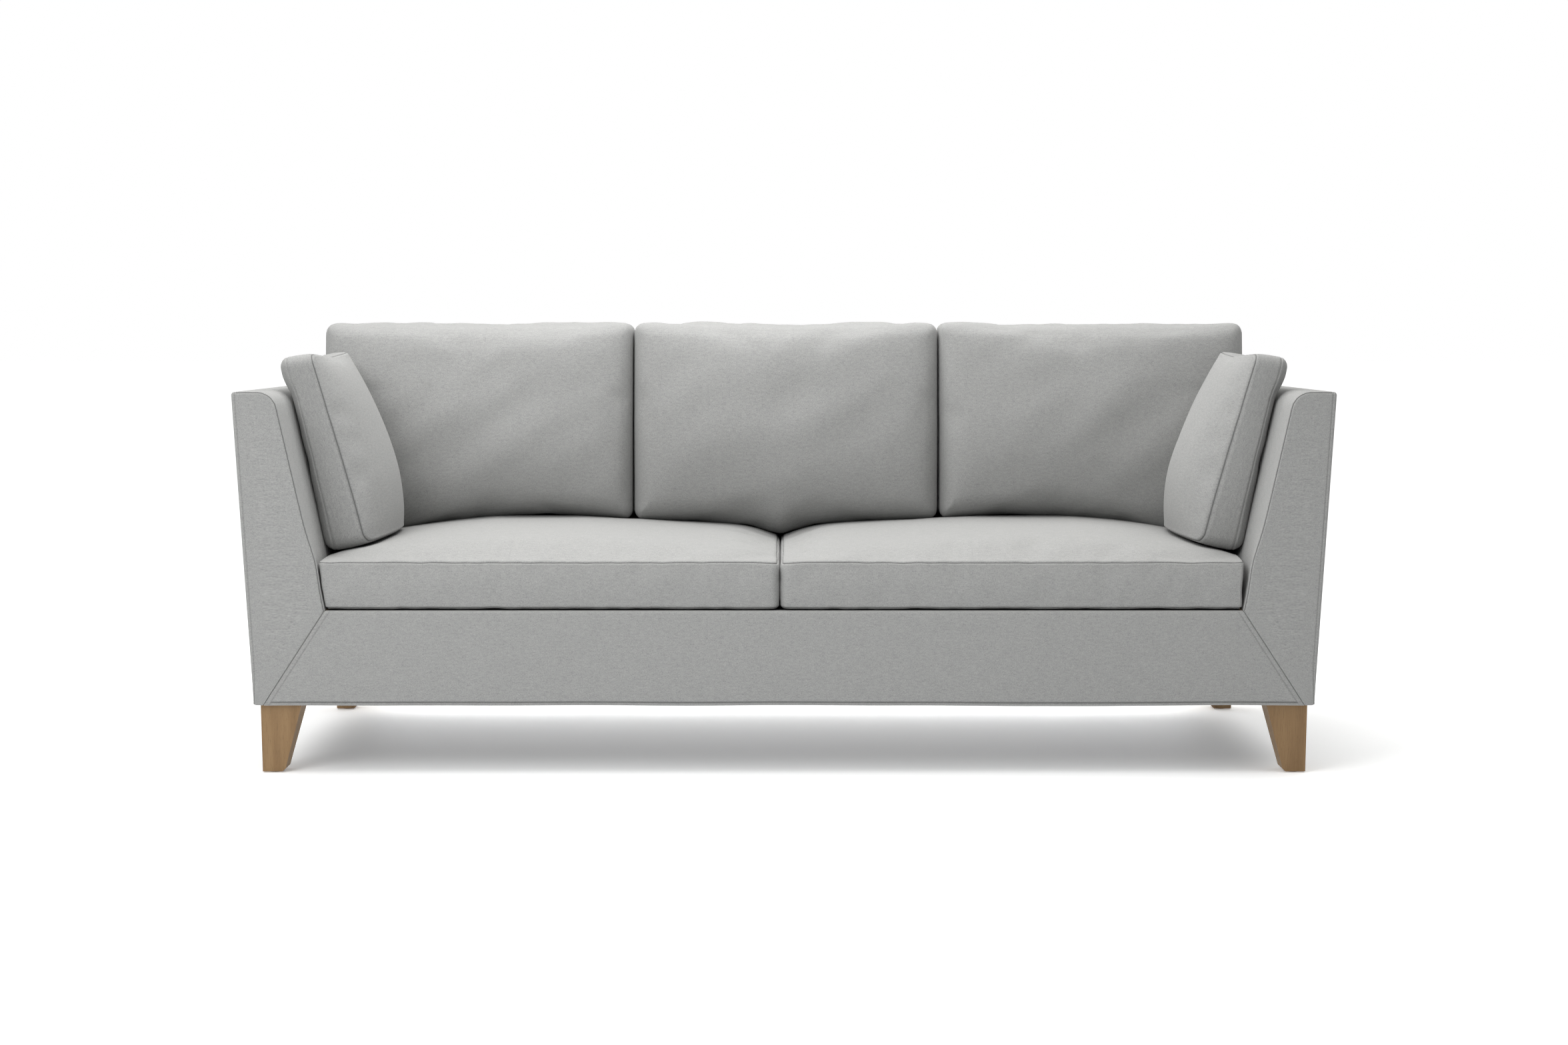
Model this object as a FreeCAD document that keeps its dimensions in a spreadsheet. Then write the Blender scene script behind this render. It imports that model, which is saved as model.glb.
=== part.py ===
"""A three-seat sofa on four tapered wooden legs, with loose seat, back and side cushions.

X runs across the seat, Y from the front (negative) to the rear, and Z up from the floor.
The origin is on the floor under the middle of the sofa.  All lengths are millimetres.
"""
import FreeCAD, Part
import math
import os
import re
import Sketcher

SIZES = {
    # Outer form: the arms and the back flare outwards from the hem to the arm top.
    "hem": 131,
    "arm_top": 735,
    "half_foot": 1021,
    "half_top": 1055,
    "front": -440,
    "rear_foot": 415,
    "rear_top": 440,
    "arm_rear": 320,
    # Seat well: inner faces of the arms, and the face of the back that the cushions rest on.
    "deck": 315,
    "well_half_deck": 882,
    "well_half_top": 974,
    "well_rear_deck": 285,
    "mitre_foot": 1003,
    # Upholstery thicknesses.
    "cloth": 2,
    "inner_pad": 15,
    "outer_pad": 8,
    "top_pad": 20,
    "front_pad": 13,
    "lip": 40,
    "deck_pad": 7,
    "loose": 1.5,
    # Timber and board.
    "base": 133,
    "rail": 25,
    "panel": 18,
    "inner_board": 5,
    "outer_board": 4,
    "foot_rail": 40,
    "foot_rail_depth": 75,
    "base_half": 878,
    "base_top": 300,
    "stretcher_low": 190,
    "stretcher_top": 270,
    "corner_leg": 60,
    "back_front": 326,
    "back_hollow": 6,
    "stile": 25,
    "stile_outer": 996,
    "stile_inner": 330,
    # Webbing on the back.
    "web": 2,
    "web_wide": 60,
    "web_pitch": 200,
    "web_low": 180,
    "web_high": 700,
    # Sinuous seat springs.
    "wire": 2,
    "wire_half_run": 30,
    "wire_height": 304,
    "wire_slack": 0.2,
    "spring_pitch": 220,
    "clip_wide": 24,
    "clip_deep": 16,
    "clip_high": 8,
    # Legs.
    "glide": 2,
    "glide_round": 15,
    "leg_outer_top": 1009,
    "leg_outer_foot": 1007,
    "leg_inner_top": 930,
    "leg_inner_foot": 963,
    "leg_bevel": 6,
    "leg_front": -430,
    "leg_rear": 412,
    "leg_deep_top": 66,
    "leg_deep_foot": 46,
    # Fasteners.
    "bolt": 4,
    "bolt_head": 9,
    "bolt_head_high": 6,
    "stud_low": 90,
    "tee_barrel": 6,
    "tee_barrel_long": 12,
    "tee_flange": 9.5,
    "tee_flange_thick": 1.5,
    "nut": 8,
    "nut_thick": 7,
    "dowel": 6,
    "dowel_long": 18,
    "dowel_set": 372,
    "bolt_long": 82,
    # Seat cushions.
    "seat_split": -8,
    "seat_gap": 4,
    "seat_front": -428,
    "seat_low": 317,
    "seat_seam": 408,
    "seat_shoulder": 437,
    "seat_crown": 449,
    "seat_flank": 430,
    "seat_slope": 130,
    "seat_flat_near": 300,
    "seat_flat_far": 620,
    "seat_flank_x": 820,
    "seat_brow": 40,
    "seat_fall": 90,
    # Back cushions.
    "back_split_left": -326,
    "back_split_right": 334,
    "back_gap": 3,
    "back_edge": 987,
    "back_top": 867,
    "back_corner": 22,
    "back_rest": 4,
    "back_toe": 142,
    "back_toe_z": 394,
    "back_belly": 124,
    "back_belly_z": 560,
    "back_chest": 146,
    "back_chest_z": 700,
    "back_chin": 190,
    "back_chin_z": 830,
    "back_brow": 222,
    # Side cushions.
    "side_front": -300,
    "side_rear": 116,
    "side_low": 416,
    "side_high": 790,
    "side_seam_low": 826,
    "side_seam_high": 934,
    "side_border": 10,
    "side_bulge": 50,
    # Foam cores.
    "wrap": 12,
    "back_core": 80,
    "side_core": 40,
}

SPRINGS = 8
SPRING_RUNS = 15
WEBS = 9
SIDES = {"left": -1, "right": 1}

doc = FreeCAD.newDocument("sofa")
sheet = doc.addObject("Spreadsheet::Sheet", "Dimensions")
for row, (alias, size) in enumerate(SIZES.items(), start=1):
    sheet.set(f"A{row}", alias)
    sheet.set(f"B{row}", str(size))
    sheet.setAlias(f"B{row}", alias)
doc.recompute()

nodes = []


# ---------------------------------------------------------------- formulas

def formula(text):
    """Point each size's name in a formula at its cell of the sheet."""
    return re.sub(r"[a-z_]+", lambda word: f"Dimensions.{word[0]}" if word[0] in SIZES else word[0], text)


def value(text):
    return float(sheet.evalExpression(formula(text)))


def between(low, high, low_z, high_z, z):
    return f"({low} + ({high} - {low}) * ({z} - {low_z}) / ({high_z} - {low_z}))"


def well(z):
    """Distance from the middle to an arm's inner face at height z."""
    return between("well_half_deck", "well_half_top", "deck", "arm_top", z)


def flank(z):
    """Distance from the middle to the outer face of an arm at height z."""
    return between("half_foot", "half_top", "hem", "arm_top", z)


def rear(z):
    """Y of the rear face at height z."""
    return between("rear_foot", "rear_top", "hem", "arm_top", z)


def rest(z):
    """Y of the face that the back cushions lean on, at height z."""
    return between("well_rear_deck", "arm_rear", "deck", "arm_top", z)


def mitre(z):
    """Distance from the middle to the seam between the front rail and an arm."""
    return between("mitre_foot", "well_half_deck", "hem", "deck", z)


# ---------------------------------------------------------------- building blocks

def keep(piece):
    """Mark a piece as one that is written out."""
    nodes.append(piece)
    return piece


def bind(thing, sizes):
    for name, text in sizes.items():
        thing.setExpression(name, formula(text))
    return thing


def outline(body, plane, corners):
    """A closed sketch through the corners, each one bound to the sheet."""
    sketch = body.newObject("Sketcher::SketchObject", f"{body.Name}_outline")
    planes = [feature for feature in body.Origin.OriginFeatures if feature.Role == f"{plane}_Plane"]
    sketch.AttachmentSupport = [(planes[0], "")]
    sketch.MapMode = "FlatFace"
    points = [FreeCAD.Vector(value(across), value(up), 0) for across, up in corners]
    count = len(points)
    for index in range(count):
        sketch.addGeometry(Part.LineSegment(points[index], points[(index + 1) % count]), False)
    for index in range(count):
        sketch.addConstraint(Sketcher.Constraint("Coincident", index, 2, (index + 1) % count, 1))
    for index, (across, up) in enumerate(corners):
        places = (("DistanceX", across, points[index].x), ("DistanceY", up, points[index].y))
        for kind, text, size in places:
            number = sketch.addConstraint(Sketcher.Constraint(kind, -1, 1, index, 1, size))
            sketch.setExpression(f"Constraints[{number}]", formula(text))
    return sketch


def prism(label, plane, corners, low, high):
    """An outline on one of the main planes, padded along the third axis from low to high."""
    body = doc.addObject("PartDesign::Body", label)
    sketch = outline(body, plane, corners)
    pad = body.newObject("PartDesign::Pad", f"{label}_pad")
    pad.Profile = sketch
    pad.Reversed = plane == "XZ"
    bind(pad, {"Length": f"{high} - ({low})"})
    axis = {"XY": "z", "XZ": "y", "YZ": "x"}[plane]
    return bind(body, {f"Placement.Base.{axis}": low})


def block(label, x_low, x_high, y_low, y_high, z_low, z_high):
    return bind(doc.addObject("Part::Box", label), {
        "Length": f"{x_high} - ({x_low})",
        "Width": f"{y_high} - ({y_low})",
        "Height": f"{z_high} - ({z_low})",
        "Placement.Base.x": x_low,
        "Placement.Base.y": y_low,
        "Placement.Base.z": z_low,
    })


def rod(label, axis, start, radius, length):
    """A cylinder that starts at a point and runs along +X, +Y or +Z."""
    turn = {"X": FreeCAD.Rotation(FreeCAD.Vector(0, 1, 0), 90),
            "Y": FreeCAD.Rotation(FreeCAD.Vector(1, 0, 0), -90),
            "Z": FreeCAD.Rotation()}[axis]
    cylinder = doc.addObject("Part::Cylinder", label)
    cylinder.Placement = FreeCAD.Placement(FreeCAD.Vector(), turn)
    x, y, z = start
    return bind(cylinder, {
        "Radius": radius,
        "Height": length,
        "Placement.Base.x": x,
        "Placement.Base.y": y,
        "Placement.Base.z": z,
    })


def joined(label, pieces):
    """Pieces made as one, or a group of like pieces that stay apart."""
    union = doc.addObject("Part::MultiFuse", label)
    union.Shapes = pieces
    return union


def common(label, first, second):
    shared = doc.addObject("Part::MultiCommon", label)
    shared.Shapes = [first, second]
    return shared


def cut(label, base, tools):
    removed = tools[0] if len(tools) == 1 else joined(f"{label}_tools", tools)
    difference = doc.addObject("Part::Cut", label)
    difference.Base = base
    difference.Tool = removed
    return difference


def span(side, near, far):
    """The low and high X of a piece that lies between two distances from the middle."""
    if side > 0:
        return near, far
    return f"-({far})", f"-({near})"


def mirrored(side, corners):
    return [(f"{side} * ({across})", up) for across, up in corners]


# ---------------------------------------------------------------- legs and their fixings

LEG_X = "(leg_outer_top + leg_inner_top) / 2"
LEG_Y = {"front": "leg_front + leg_deep_top / 2", "rear": "leg_rear - leg_deep_top / 2"}


def stud(name, side, end):
    x = f"{side} * ({LEG_X})"
    return rod(name, "Z", (x, LEG_Y[end], "stud_low"), "bolt", "base + foot_rail - stud_low")


def tee_nut(name, side, end):
    """A barrel let into the rail from above, with a round flange on the rail's top."""
    x = f"{side} * ({LEG_X})"
    top = "base + foot_rail"
    barrel = rod(f"{name}_barrel", "Z", (x, LEG_Y[end], f"{top} - tee_barrel_long"),
                 "tee_barrel", "tee_barrel_long")
    flange = rod(f"{name}_flange", "Z", (x, LEG_Y[end], top), "tee_flange", "tee_flange_thick")
    thread = rod(f"{name}_thread", "Z", (x, LEG_Y[end], f"{top} - tee_barrel_long"),
                 "bolt", "tee_barrel_long + tee_flange_thick")
    return cut(name, joined(f"{name}_blank", [barrel, flange]), [thread]), barrel


def leg(place, side, end):
    """A leg that tapers on its inner side and towards the middle of the sofa."""
    face = prism(f"leg_{place}_face", "XZ", mirrored(side, [
        ("leg_outer_foot", "glide"),
        ("leg_outer_top", "base"),
        ("leg_inner_top", "base"),
        ("leg_inner_foot", "glide + leg_bevel"),
        ("leg_inner_foot + leg_bevel", "glide"),
    ]), "front", "rear_foot")
    if end == "front":
        deep = ("leg_front", "leg_front", "leg_front + leg_deep_top", "leg_front + leg_deep_foot")
    else:
        deep = ("leg_rear", "leg_rear", "leg_rear - leg_deep_top", "leg_rear - leg_deep_foot")
    profile = prism(f"leg_{place}_profile", "YZ", [
        (deep[0], "glide"),
        (deep[1], "base"),
        (deep[2], "base"),
        (deep[3], "glide"),
    ], *span(side, "leg_inner_top", "leg_outer_top"))
    blank = common(f"leg_{place}_blank", face, profile)
    return keep(cut(f"leg_{place}", blank, [stud(f"leg_{place}_pilot", side, end)]))


def glide(place, side, end):
    x = f"{side} * ((leg_outer_foot + leg_inner_foot) / 2)"
    y = "leg_front + leg_deep_foot / 2" if end == "front" else "leg_rear - leg_deep_foot / 2"
    return rod(f"glide_{place}", "Z", (x, y, "0"), "glide_round", "glide")


def make_legs():
    """Four legs, each on a stud in a tee nut.  Returns what the rails above must make room for."""
    studs, nuts, glides, holes = [], [], [], {}
    for end in ("front", "rear"):
        for side_name, side in SIDES.items():
            place = f"{end}_{side_name}"
            leg(place, side, end)
            studs.append(stud(f"stud_{place}", side, end))
            nut, barrel = tee_nut(f"tee_nut_{place}", side, end)
            nuts.append(nut)
            glides.append(glide(place, side, end))
            holes[place] = [studs[-1], barrel]
    keep(joined("leg_hanger_bolts", studs))
    keep(joined("leg_tee_nuts", nuts))
    keep(joined("leg_glides", glides))
    return holes


# ---------------------------------------------------------------- bolts that hold the frame

BASE_FRONT = "(front + cloth + front_pad)"
BASE_REAR = "(back_front - web)"
SIDE_BOLT_Y = (-300, -50, 200)
SIDE_BOLT_Z = "230"
REAR_BOLT_X = (-700, -300, 300, 700)
ARM_BOLT_Z = ("280", "600")


def side_bolt(name, side, y):
    """A bolt along X through a base side rail and an arm, with its nut inside the arm."""
    shank_long = "2 * rail + nut_thick"
    low, _ = span(side, "base_half - rail", "base_half + rail + nut_thick")
    shank = rod(f"{name}_shank", "X", (low, y, SIDE_BOLT_Z), "bolt", shank_long)
    low, _ = span(side, "base_half - rail - bolt_head_high", "base_half - rail")
    head = rod(f"{name}_head", "X", (low, y, SIDE_BOLT_Z), "bolt_head", "bolt_head_high")
    low, _ = span(side, "base_half + rail", "base_half + rail + nut_thick")
    nut = rod(f"{name}_nut", "X", (low, y, SIDE_BOLT_Z), "nut", "nut_thick")
    return shank, head, cut(f"{name}_drilled_nut", nut, [shank])


def rear_bolt(name, x, z, start):
    """A bolt along Y into a cross dowel in the back frame."""
    shank = rod(f"{name}_shank", "Y", (x, start, z), "bolt", "bolt_long")
    head = rod(f"{name}_head", "Y", (x, f"{start} - bolt_head_high", z), "bolt_head", "bolt_head_high")
    dowel = rod(f"{name}_dowel", "X", (f"{x} - dowel_long / 2", "dowel_set", z), "dowel", "dowel_long")
    return shank, head, dowel, cut(f"{name}_drilled_dowel", dowel, [shank])


def make_frame_bolts():
    """All frame bolts and nuts.  Returns the holes that they need, by place."""
    bolts, nuts = [], []
    holes = {"left": [], "right": [], "left_arm_rear": [], "right_arm_rear": [], "stiles": [],
             "base_rear": [], "back_foot": []}
    for side_name, side in SIDES.items():
        for number, y in enumerate(SIDE_BOLT_Y, start=1):
            shank, head, nut = side_bolt(f"{side_name}_bolt_{number}", side, str(y))
            bolts.append(joined(f"{side_name}_bolt_{number}", [shank, head]))
            nuts.append(nut)
            holes[side_name].append(shank)
        for number, z in enumerate(ARM_BOLT_Z, start=1):
            name = f"{side_name}_arm_bolt_{number}"
            shank, head, dowel, nut = rear_bolt(name, f"{side} * stile_outer", z, "back_front - panel")
            bolts.append(joined(name, [shank, head]))
            nuts.append(nut)
            holes[f"{side_name}_arm_rear"].append(shank)
            holes["stiles"] += [shank, dowel]
    for number, x in enumerate(REAR_BOLT_X, start=1):
        name = f"rear_bolt_{number}"
        shank, head, dowel, nut = rear_bolt(name, str(x), "base + foot_rail / 2", f"{BASE_REAR} - rail")
        bolts.append(joined(name, [shank, head]))
        nuts.append(nut)
        holes["base_rear"].append(shank)
        holes["back_foot"] += [shank, dowel]
    keep(joined("frame_bolts", bolts))
    keep(joined("frame_nuts", nuts))
    return holes


# ---------------------------------------------------------------- seat base



def make_base(holes):
    front_inside = f"{BASE_FRONT} + rail"
    rear_inside = f"{BASE_REAR} - rail"
    keep(block("base_front_rail", "-base_half", "base_half", BASE_FRONT, front_inside, "base", "base_top"))
    rear_rail = block("base_rear_rail_blank", "-base_half", "base_half", rear_inside, BASE_REAR,
                      "base", "base_top")
    keep(cut("base_rear_rail", rear_rail, holes["base_rear"]))
    for side_name, side in SIDES.items():
        low, high = span(side, "base_half - rail", "base_half")
        blank = block(f"base_{side_name}_rail_blank", low, high, front_inside, rear_inside,
                      "base", "base_top")
        keep(cut(f"base_{side_name}_rail", blank, holes[side_name]))
    keep(block("base_centre_rail", "-rail / 2", "rail / 2", front_inside, rear_inside,
               "stretcher_low", "stretcher_top"))
    blocks = []
    for side in SIDES.values():
        for corner, inward in ((front_inside, 1), (rear_inside, -1)):
            across = f"{side} * (base_half - rail)"
            blocks.append(prism(f"corner_block_{len(blocks) + 1}", "XY", [
                (across, corner),
                (f"{side} * (base_half - rail - corner_leg)", corner),
                (across, f"{corner} + {inward} * corner_leg"),
            ], "base", "base + corner_leg"))
    keep(joined("corner_blocks", blocks))


# ---------------------------------------------------------------- seat springs and deck

SPRING_FRONT = f"({BASE_FRONT} + rail / 2)"
SPRING_REAR = f"({BASE_REAR} - rail / 2)"
SPRING_STEP = f"(({SPRING_REAR} - {SPRING_FRONT}) / {SPRING_RUNS - 1})"


def make_springs():
    """Eight zigzag wires from the front rail to the rear rail: straight runs joined by half turns."""
    body = doc.addObject("PartDesign::Body", "seat_springs")
    planes = {feature.Role: feature for feature in body.Origin.OriginFeatures}
    spine = body.newObject("Sketcher::SketchObject", "spring_path")
    spine.AttachmentSupport = [(planes["XY_Plane"], "")]
    spine.MapMode = "FlatFace"
    half_run = value("wire_half_run")
    step = value(SPRING_STEP)
    for run in range(SPRING_RUNS):
        way = 1 if run % 2 == 0 else -1
        y = run * step
        ends = [FreeCAD.Vector(-way * half_run, y, 0), FreeCAD.Vector(way * half_run, y, 0)]
        line = spine.addGeometry(Part.LineSegment(*ends), False)
        for kind, corner, text, size in (
                ("DistanceX", 1, f"{-way} * wire_half_run", -way * half_run),
                ("DistanceY", 1, f"{run} * {SPRING_STEP}", y),
                ("DistanceX", 2, f"{way} * wire_half_run", way * half_run)):
            number = spine.addConstraint(Sketcher.Constraint(kind, -1, 1, line, corner, size))
            spine.setExpression(f"Constraints[{number}]", formula(text))
        spine.addConstraint(Sketcher.Constraint("Horizontal", line))
    for run in range(SPRING_RUNS - 1):
        way = 1 if run % 2 == 0 else -1
        centre = FreeCAD.Vector(way * half_run, (run + 0.5) * step, 0)
        circle = Part.Circle(centre, FreeCAD.Vector(0, 0, 1), step / 2)
        start = -math.pi / 2 if way > 0 else math.pi / 2
        turn = spine.addGeometry(Part.ArcOfCircle(circle, start, start + math.pi), False)
        first, last = (1, 2) if way > 0 else (2, 1)
        spine.addConstraint(Sketcher.Constraint("Tangent", run, 2, turn, first))
        spine.addConstraint(Sketcher.Constraint("Coincident", run + 1, 1, turn, last))
    ring = body.newObject("Sketcher::SketchObject", "spring_wire")
    ring.AttachmentSupport = [(planes["YZ_Plane"], "")]
    ring.MapMode = "FlatFace"
    bind(ring, {"AttachmentOffset.Base.z": "-wire_half_run"})
    wire = value("wire")
    ring.addGeometry(Part.Circle(FreeCAD.Vector(0, 0, 0), FreeCAD.Vector(0, 0, 1), wire), False)
    ring.addConstraint(Sketcher.Constraint("Coincident", 0, 3, -1, 1))
    number = ring.addConstraint(Sketcher.Constraint("Radius", 0, wire))
    ring.setExpression(f"Constraints[{number}]", formula("wire"))
    pipe = body.newObject("PartDesign::AdditivePipe", "spring")
    pipe.Profile = ring
    pipe.Spine = (spine, [])
    doc.recompute()
    row = body.newObject("PartDesign::LinearPattern", "spring_row")
    row.Originals = [pipe]
    row.Direction = (planes["X_Axis"], [""])
    row.Occurrences = SPRINGS
    bind(row, {"Length": f"{SPRINGS - 1} * spring_pitch"})
    body.Tip = row
    keep(bind(body, {
        "Placement.Base.x": f"-{SPRINGS - 1} * spring_pitch / 2",
        "Placement.Base.y": SPRING_FRONT,
        "Placement.Base.z": "wire_height",
    }))


def make_spring_clips():
    """A clip over each end of each spring, on top of the rail."""
    blanks = []
    for y in (SPRING_FRONT, SPRING_REAR):
        for number in range(SPRINGS):
            x = f"({number} - {SPRINGS - 1} / 2) * spring_pitch"
            blanks.append(block(f"clip_blank_{len(blanks) + 1}", f"{x} - clip_wide / 2",
                                f"{x} + clip_wide / 2", f"{y} - clip_deep / 2", f"{y} + clip_deep / 2",
                                "base_top", "base_top + clip_high"))
    bores = [rod(f"clip_bore_{number}", "X", ("-base_half", y, "wire_height"), "wire + wire_slack",
                 "2 * base_half") for number, y in enumerate((SPRING_FRONT, SPRING_REAR), start=1)]
    keep(cut("spring_clips", joined("clip_blanks", blanks), bores))


def make_seat_front():
    """Deck pad, and the padded cloth panel that covers the front rail between the mitred seams."""
    pad_low = "deck - deck_pad"
    lip_rear = "front + lip"
    keep(block("seat_deck_pad", "-base_half", "base_half", lip_rear, "well_rear_deck", pad_low, "deck"))
    under = "deck - cloth"
    pad_face = prism("front_pad_face", "XZ", [
        (f"-{mitre('base')}", "base"),
        (mitre("base"), "base"),
        (mitre(under), under),
        (f"-{mitre(under)}", under),
    ], "front + cloth", BASE_FRONT)
    pad_top = block("front_pad_top", "-base_half", "base_half", BASE_FRONT, lip_rear, pad_low, under)
    keep(joined("front_rail_padding", [pad_face, pad_top]))
    skin = prism("front_cover_face", "XZ", [
        ("-mitre_foot", "hem"),
        ("mitre_foot", "hem"),
        ("well_half_deck", "deck"),
        ("-well_half_deck", "deck"),
    ], "front", "front + cloth")
    lip = block("front_cover_lip", "-base_half", "base_half", "front + cloth", lip_rear, under, "deck")
    keep(joined("front_rail_cover", [skin, lip]))


def make_dust_cover():
    """A thin cloth under the frame, cut away around the four legs."""
    wide, narrow = "half_foot - 2 * outer_pad", "leg_inner_top - cloth"
    near, far = "leg_front + leg_deep_top + cloth", "leg_rear - leg_deep_top - cloth"
    front_y, rear_y = BASE_FRONT, "rear_foot - 2 * outer_pad"
    right = [(narrow, front_y), (narrow, near), (wide, near), (wide, far), (narrow, far), (narrow, rear_y)]
    left = [(f"-({across})", along) for across, along in reversed(right)]
    keep(prism("dust_cover", "XY", right + left, "hem", "base"))


# ---------------------------------------------------------------- arms

def arm_section(inner, top, outer, low, inner_foot):
    """Outline of an arm, set in from its faces, with the part beside the seat base below the deck."""
    high = f"(arm_top - {top})"
    return [
        (f"{well('deck')} + {inner}", "deck"),
        (f"{well(high)} + {inner}", high),
        (f"{flank(high)} - {outer}", high),
        (f"{flank(low)} - {outer}", low),
        (inner_foot, low),
        (inner_foot, "deck"),
    ]


def arm_front(inset, low):
    """Outline of the arm's front, set in, down to the mitred seam."""
    high = f"(arm_top - {inset})"
    return [
        (f"{well('deck')} + {inset}", "deck"),
        (f"{well(high)} + {inset}", high),
        (f"{flank(high)} - {inset}", high),
        (f"{flank(low)} - {inset}", low),
        (f"{mitre(low)} + {inset}", low),
    ]


def strip(line, near, far, low, high):
    """Outline of a board between two depths from a slanted face."""
    return [
        (f"{line(low)} + {near}", low),
        (f"{line(high)} + {near}", high),
        (f"{line(high)} + {far}", high),
        (f"{line(low)} + {far}", low),
    ]


def make_arm(side_name, side, holes, foot_holes):
    inner_faced = "(cloth + inner_pad)"
    inner_framed = "(cloth + inner_pad + inner_board)"
    outer_faced = "(cloth + outer_pad)"
    outer_framed = "(cloth + outer_pad + outer_board)"
    top_framed = "(cloth + top_pad)"
    frame_top = f"(arm_top - {top_framed})"
    front_inside = f"{BASE_FRONT} + panel"
    rear_inside = "back_front - panel"
    seam_clear = "well_half_deck - lip / 2"

    def piece(name, corners, low, high):
        return prism(f"{side_name}_arm_{name}", "XZ", mirrored(side, corners), low, high)

    frame = arm_section(inner_framed, top_framed, outer_framed, "base", "base_half")
    keep(piece("front_panel", frame, BASE_FRONT, front_inside))
    rear_blank = piece("rear_blank", frame, rear_inside, "back_front")
    keep(cut(f"{side_name}_arm_rear_panel", rear_blank, holes[f"{side_name}_arm_rear"]))

    rail_low = f"({frame_top} - rail)"
    keep(piece("top_rail", [
        (f"{well(rail_low)} + {inner_framed}", rail_low),
        (f"{well(frame_top)} + {inner_framed}", frame_top),
        (f"{flank(frame_top)} - {outer_framed}", frame_top),
        (f"{flank(rail_low)} - {outer_framed}", rail_low),
    ], front_inside, rear_inside))
    foot_top = "(base + foot_rail)"
    foot_blank = piece("foot_blank", [
        ("base_half", "base"),
        ("base_half", foot_top),
        (f"{flank(foot_top)} - {outer_framed}", foot_top),
        (f"{flank('base')} - {outer_framed}", "base"),
    ], front_inside, rear_inside)
    keep(cut(f"{side_name}_arm_bottom_rail", foot_blank, foot_holes))
    low, high = span(side, "base_half", "base_half + rail")
    side_blank = block(f"{side_name}_arm_side_blank", low, high, front_inside, rear_inside,
                       foot_top, "deck")
    keep(cut(f"{side_name}_arm_side_rail", side_blank, holes[side_name]))

    keep(piece("inner_board", strip(well, inner_faced, inner_framed, "deck", frame_top),
               BASE_FRONT, "arm_rear"))
    keep(piece("outer_board", strip(flank, f"-{outer_faced}", f"-{outer_framed}", "base", frame_top),
               BASE_FRONT, "arm_rear"))

    pad_blank = piece("pad_blank", arm_front("cloth", "base"), "front + cloth", "arm_rear")
    pad_room = piece("pad_room", arm_section(inner_faced, top_framed, outer_faced, "base", seam_clear),
                     BASE_FRONT, "arm_rear")
    keep(cut(f"{side_name}_arm_padding", pad_blank, [pad_room]))
    cover_blank = piece("cover_blank", arm_front("0", "hem"), "front", "arm_rear")
    cover_room = piece("cover_room", arm_section("cloth", "cloth", "cloth", "hem", seam_clear),
                       "front + cloth", "arm_rear")
    keep(cut(f"{side_name}_arm_cover", cover_blank, [cover_room]))


# ---------------------------------------------------------------- back

def across(label, inset, low, high, y_low, y_high):
    """A full-width piece whose ends follow the flare of the arms, set in."""
    return prism(label, "XZ", [
        (f"-({flank(low)} - {inset})", low),
        (f"-({flank(high)} - {inset})", high),
        (f"{flank(high)} - {inset}", high),
        (f"{flank(low)} - {inset}", low),
    ], y_low, y_high)


def behind(label, front_low, front_high, inset, low, high, half="half_top"):
    """A piece as deep as the back, from a front line to the rear face, set in."""
    return prism(label, "YZ", [
        (front_low, low),
        (front_high, high),
        (f"{rear(high)} - {inset}", high),
        (f"{rear(low)} - {inset}", low),
    ], f"-({half})", half)


def well_slab(label, low, high):
    """Fills the seat well from arm to arm between two heights."""
    return prism(label, "XZ", [
        (f"-{well(low)}", low),
        (f"-{well(high)}", high),
        (well(high), high),
        (well(low), low),
    ], "well_rear_deck", "rear_top")


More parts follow.
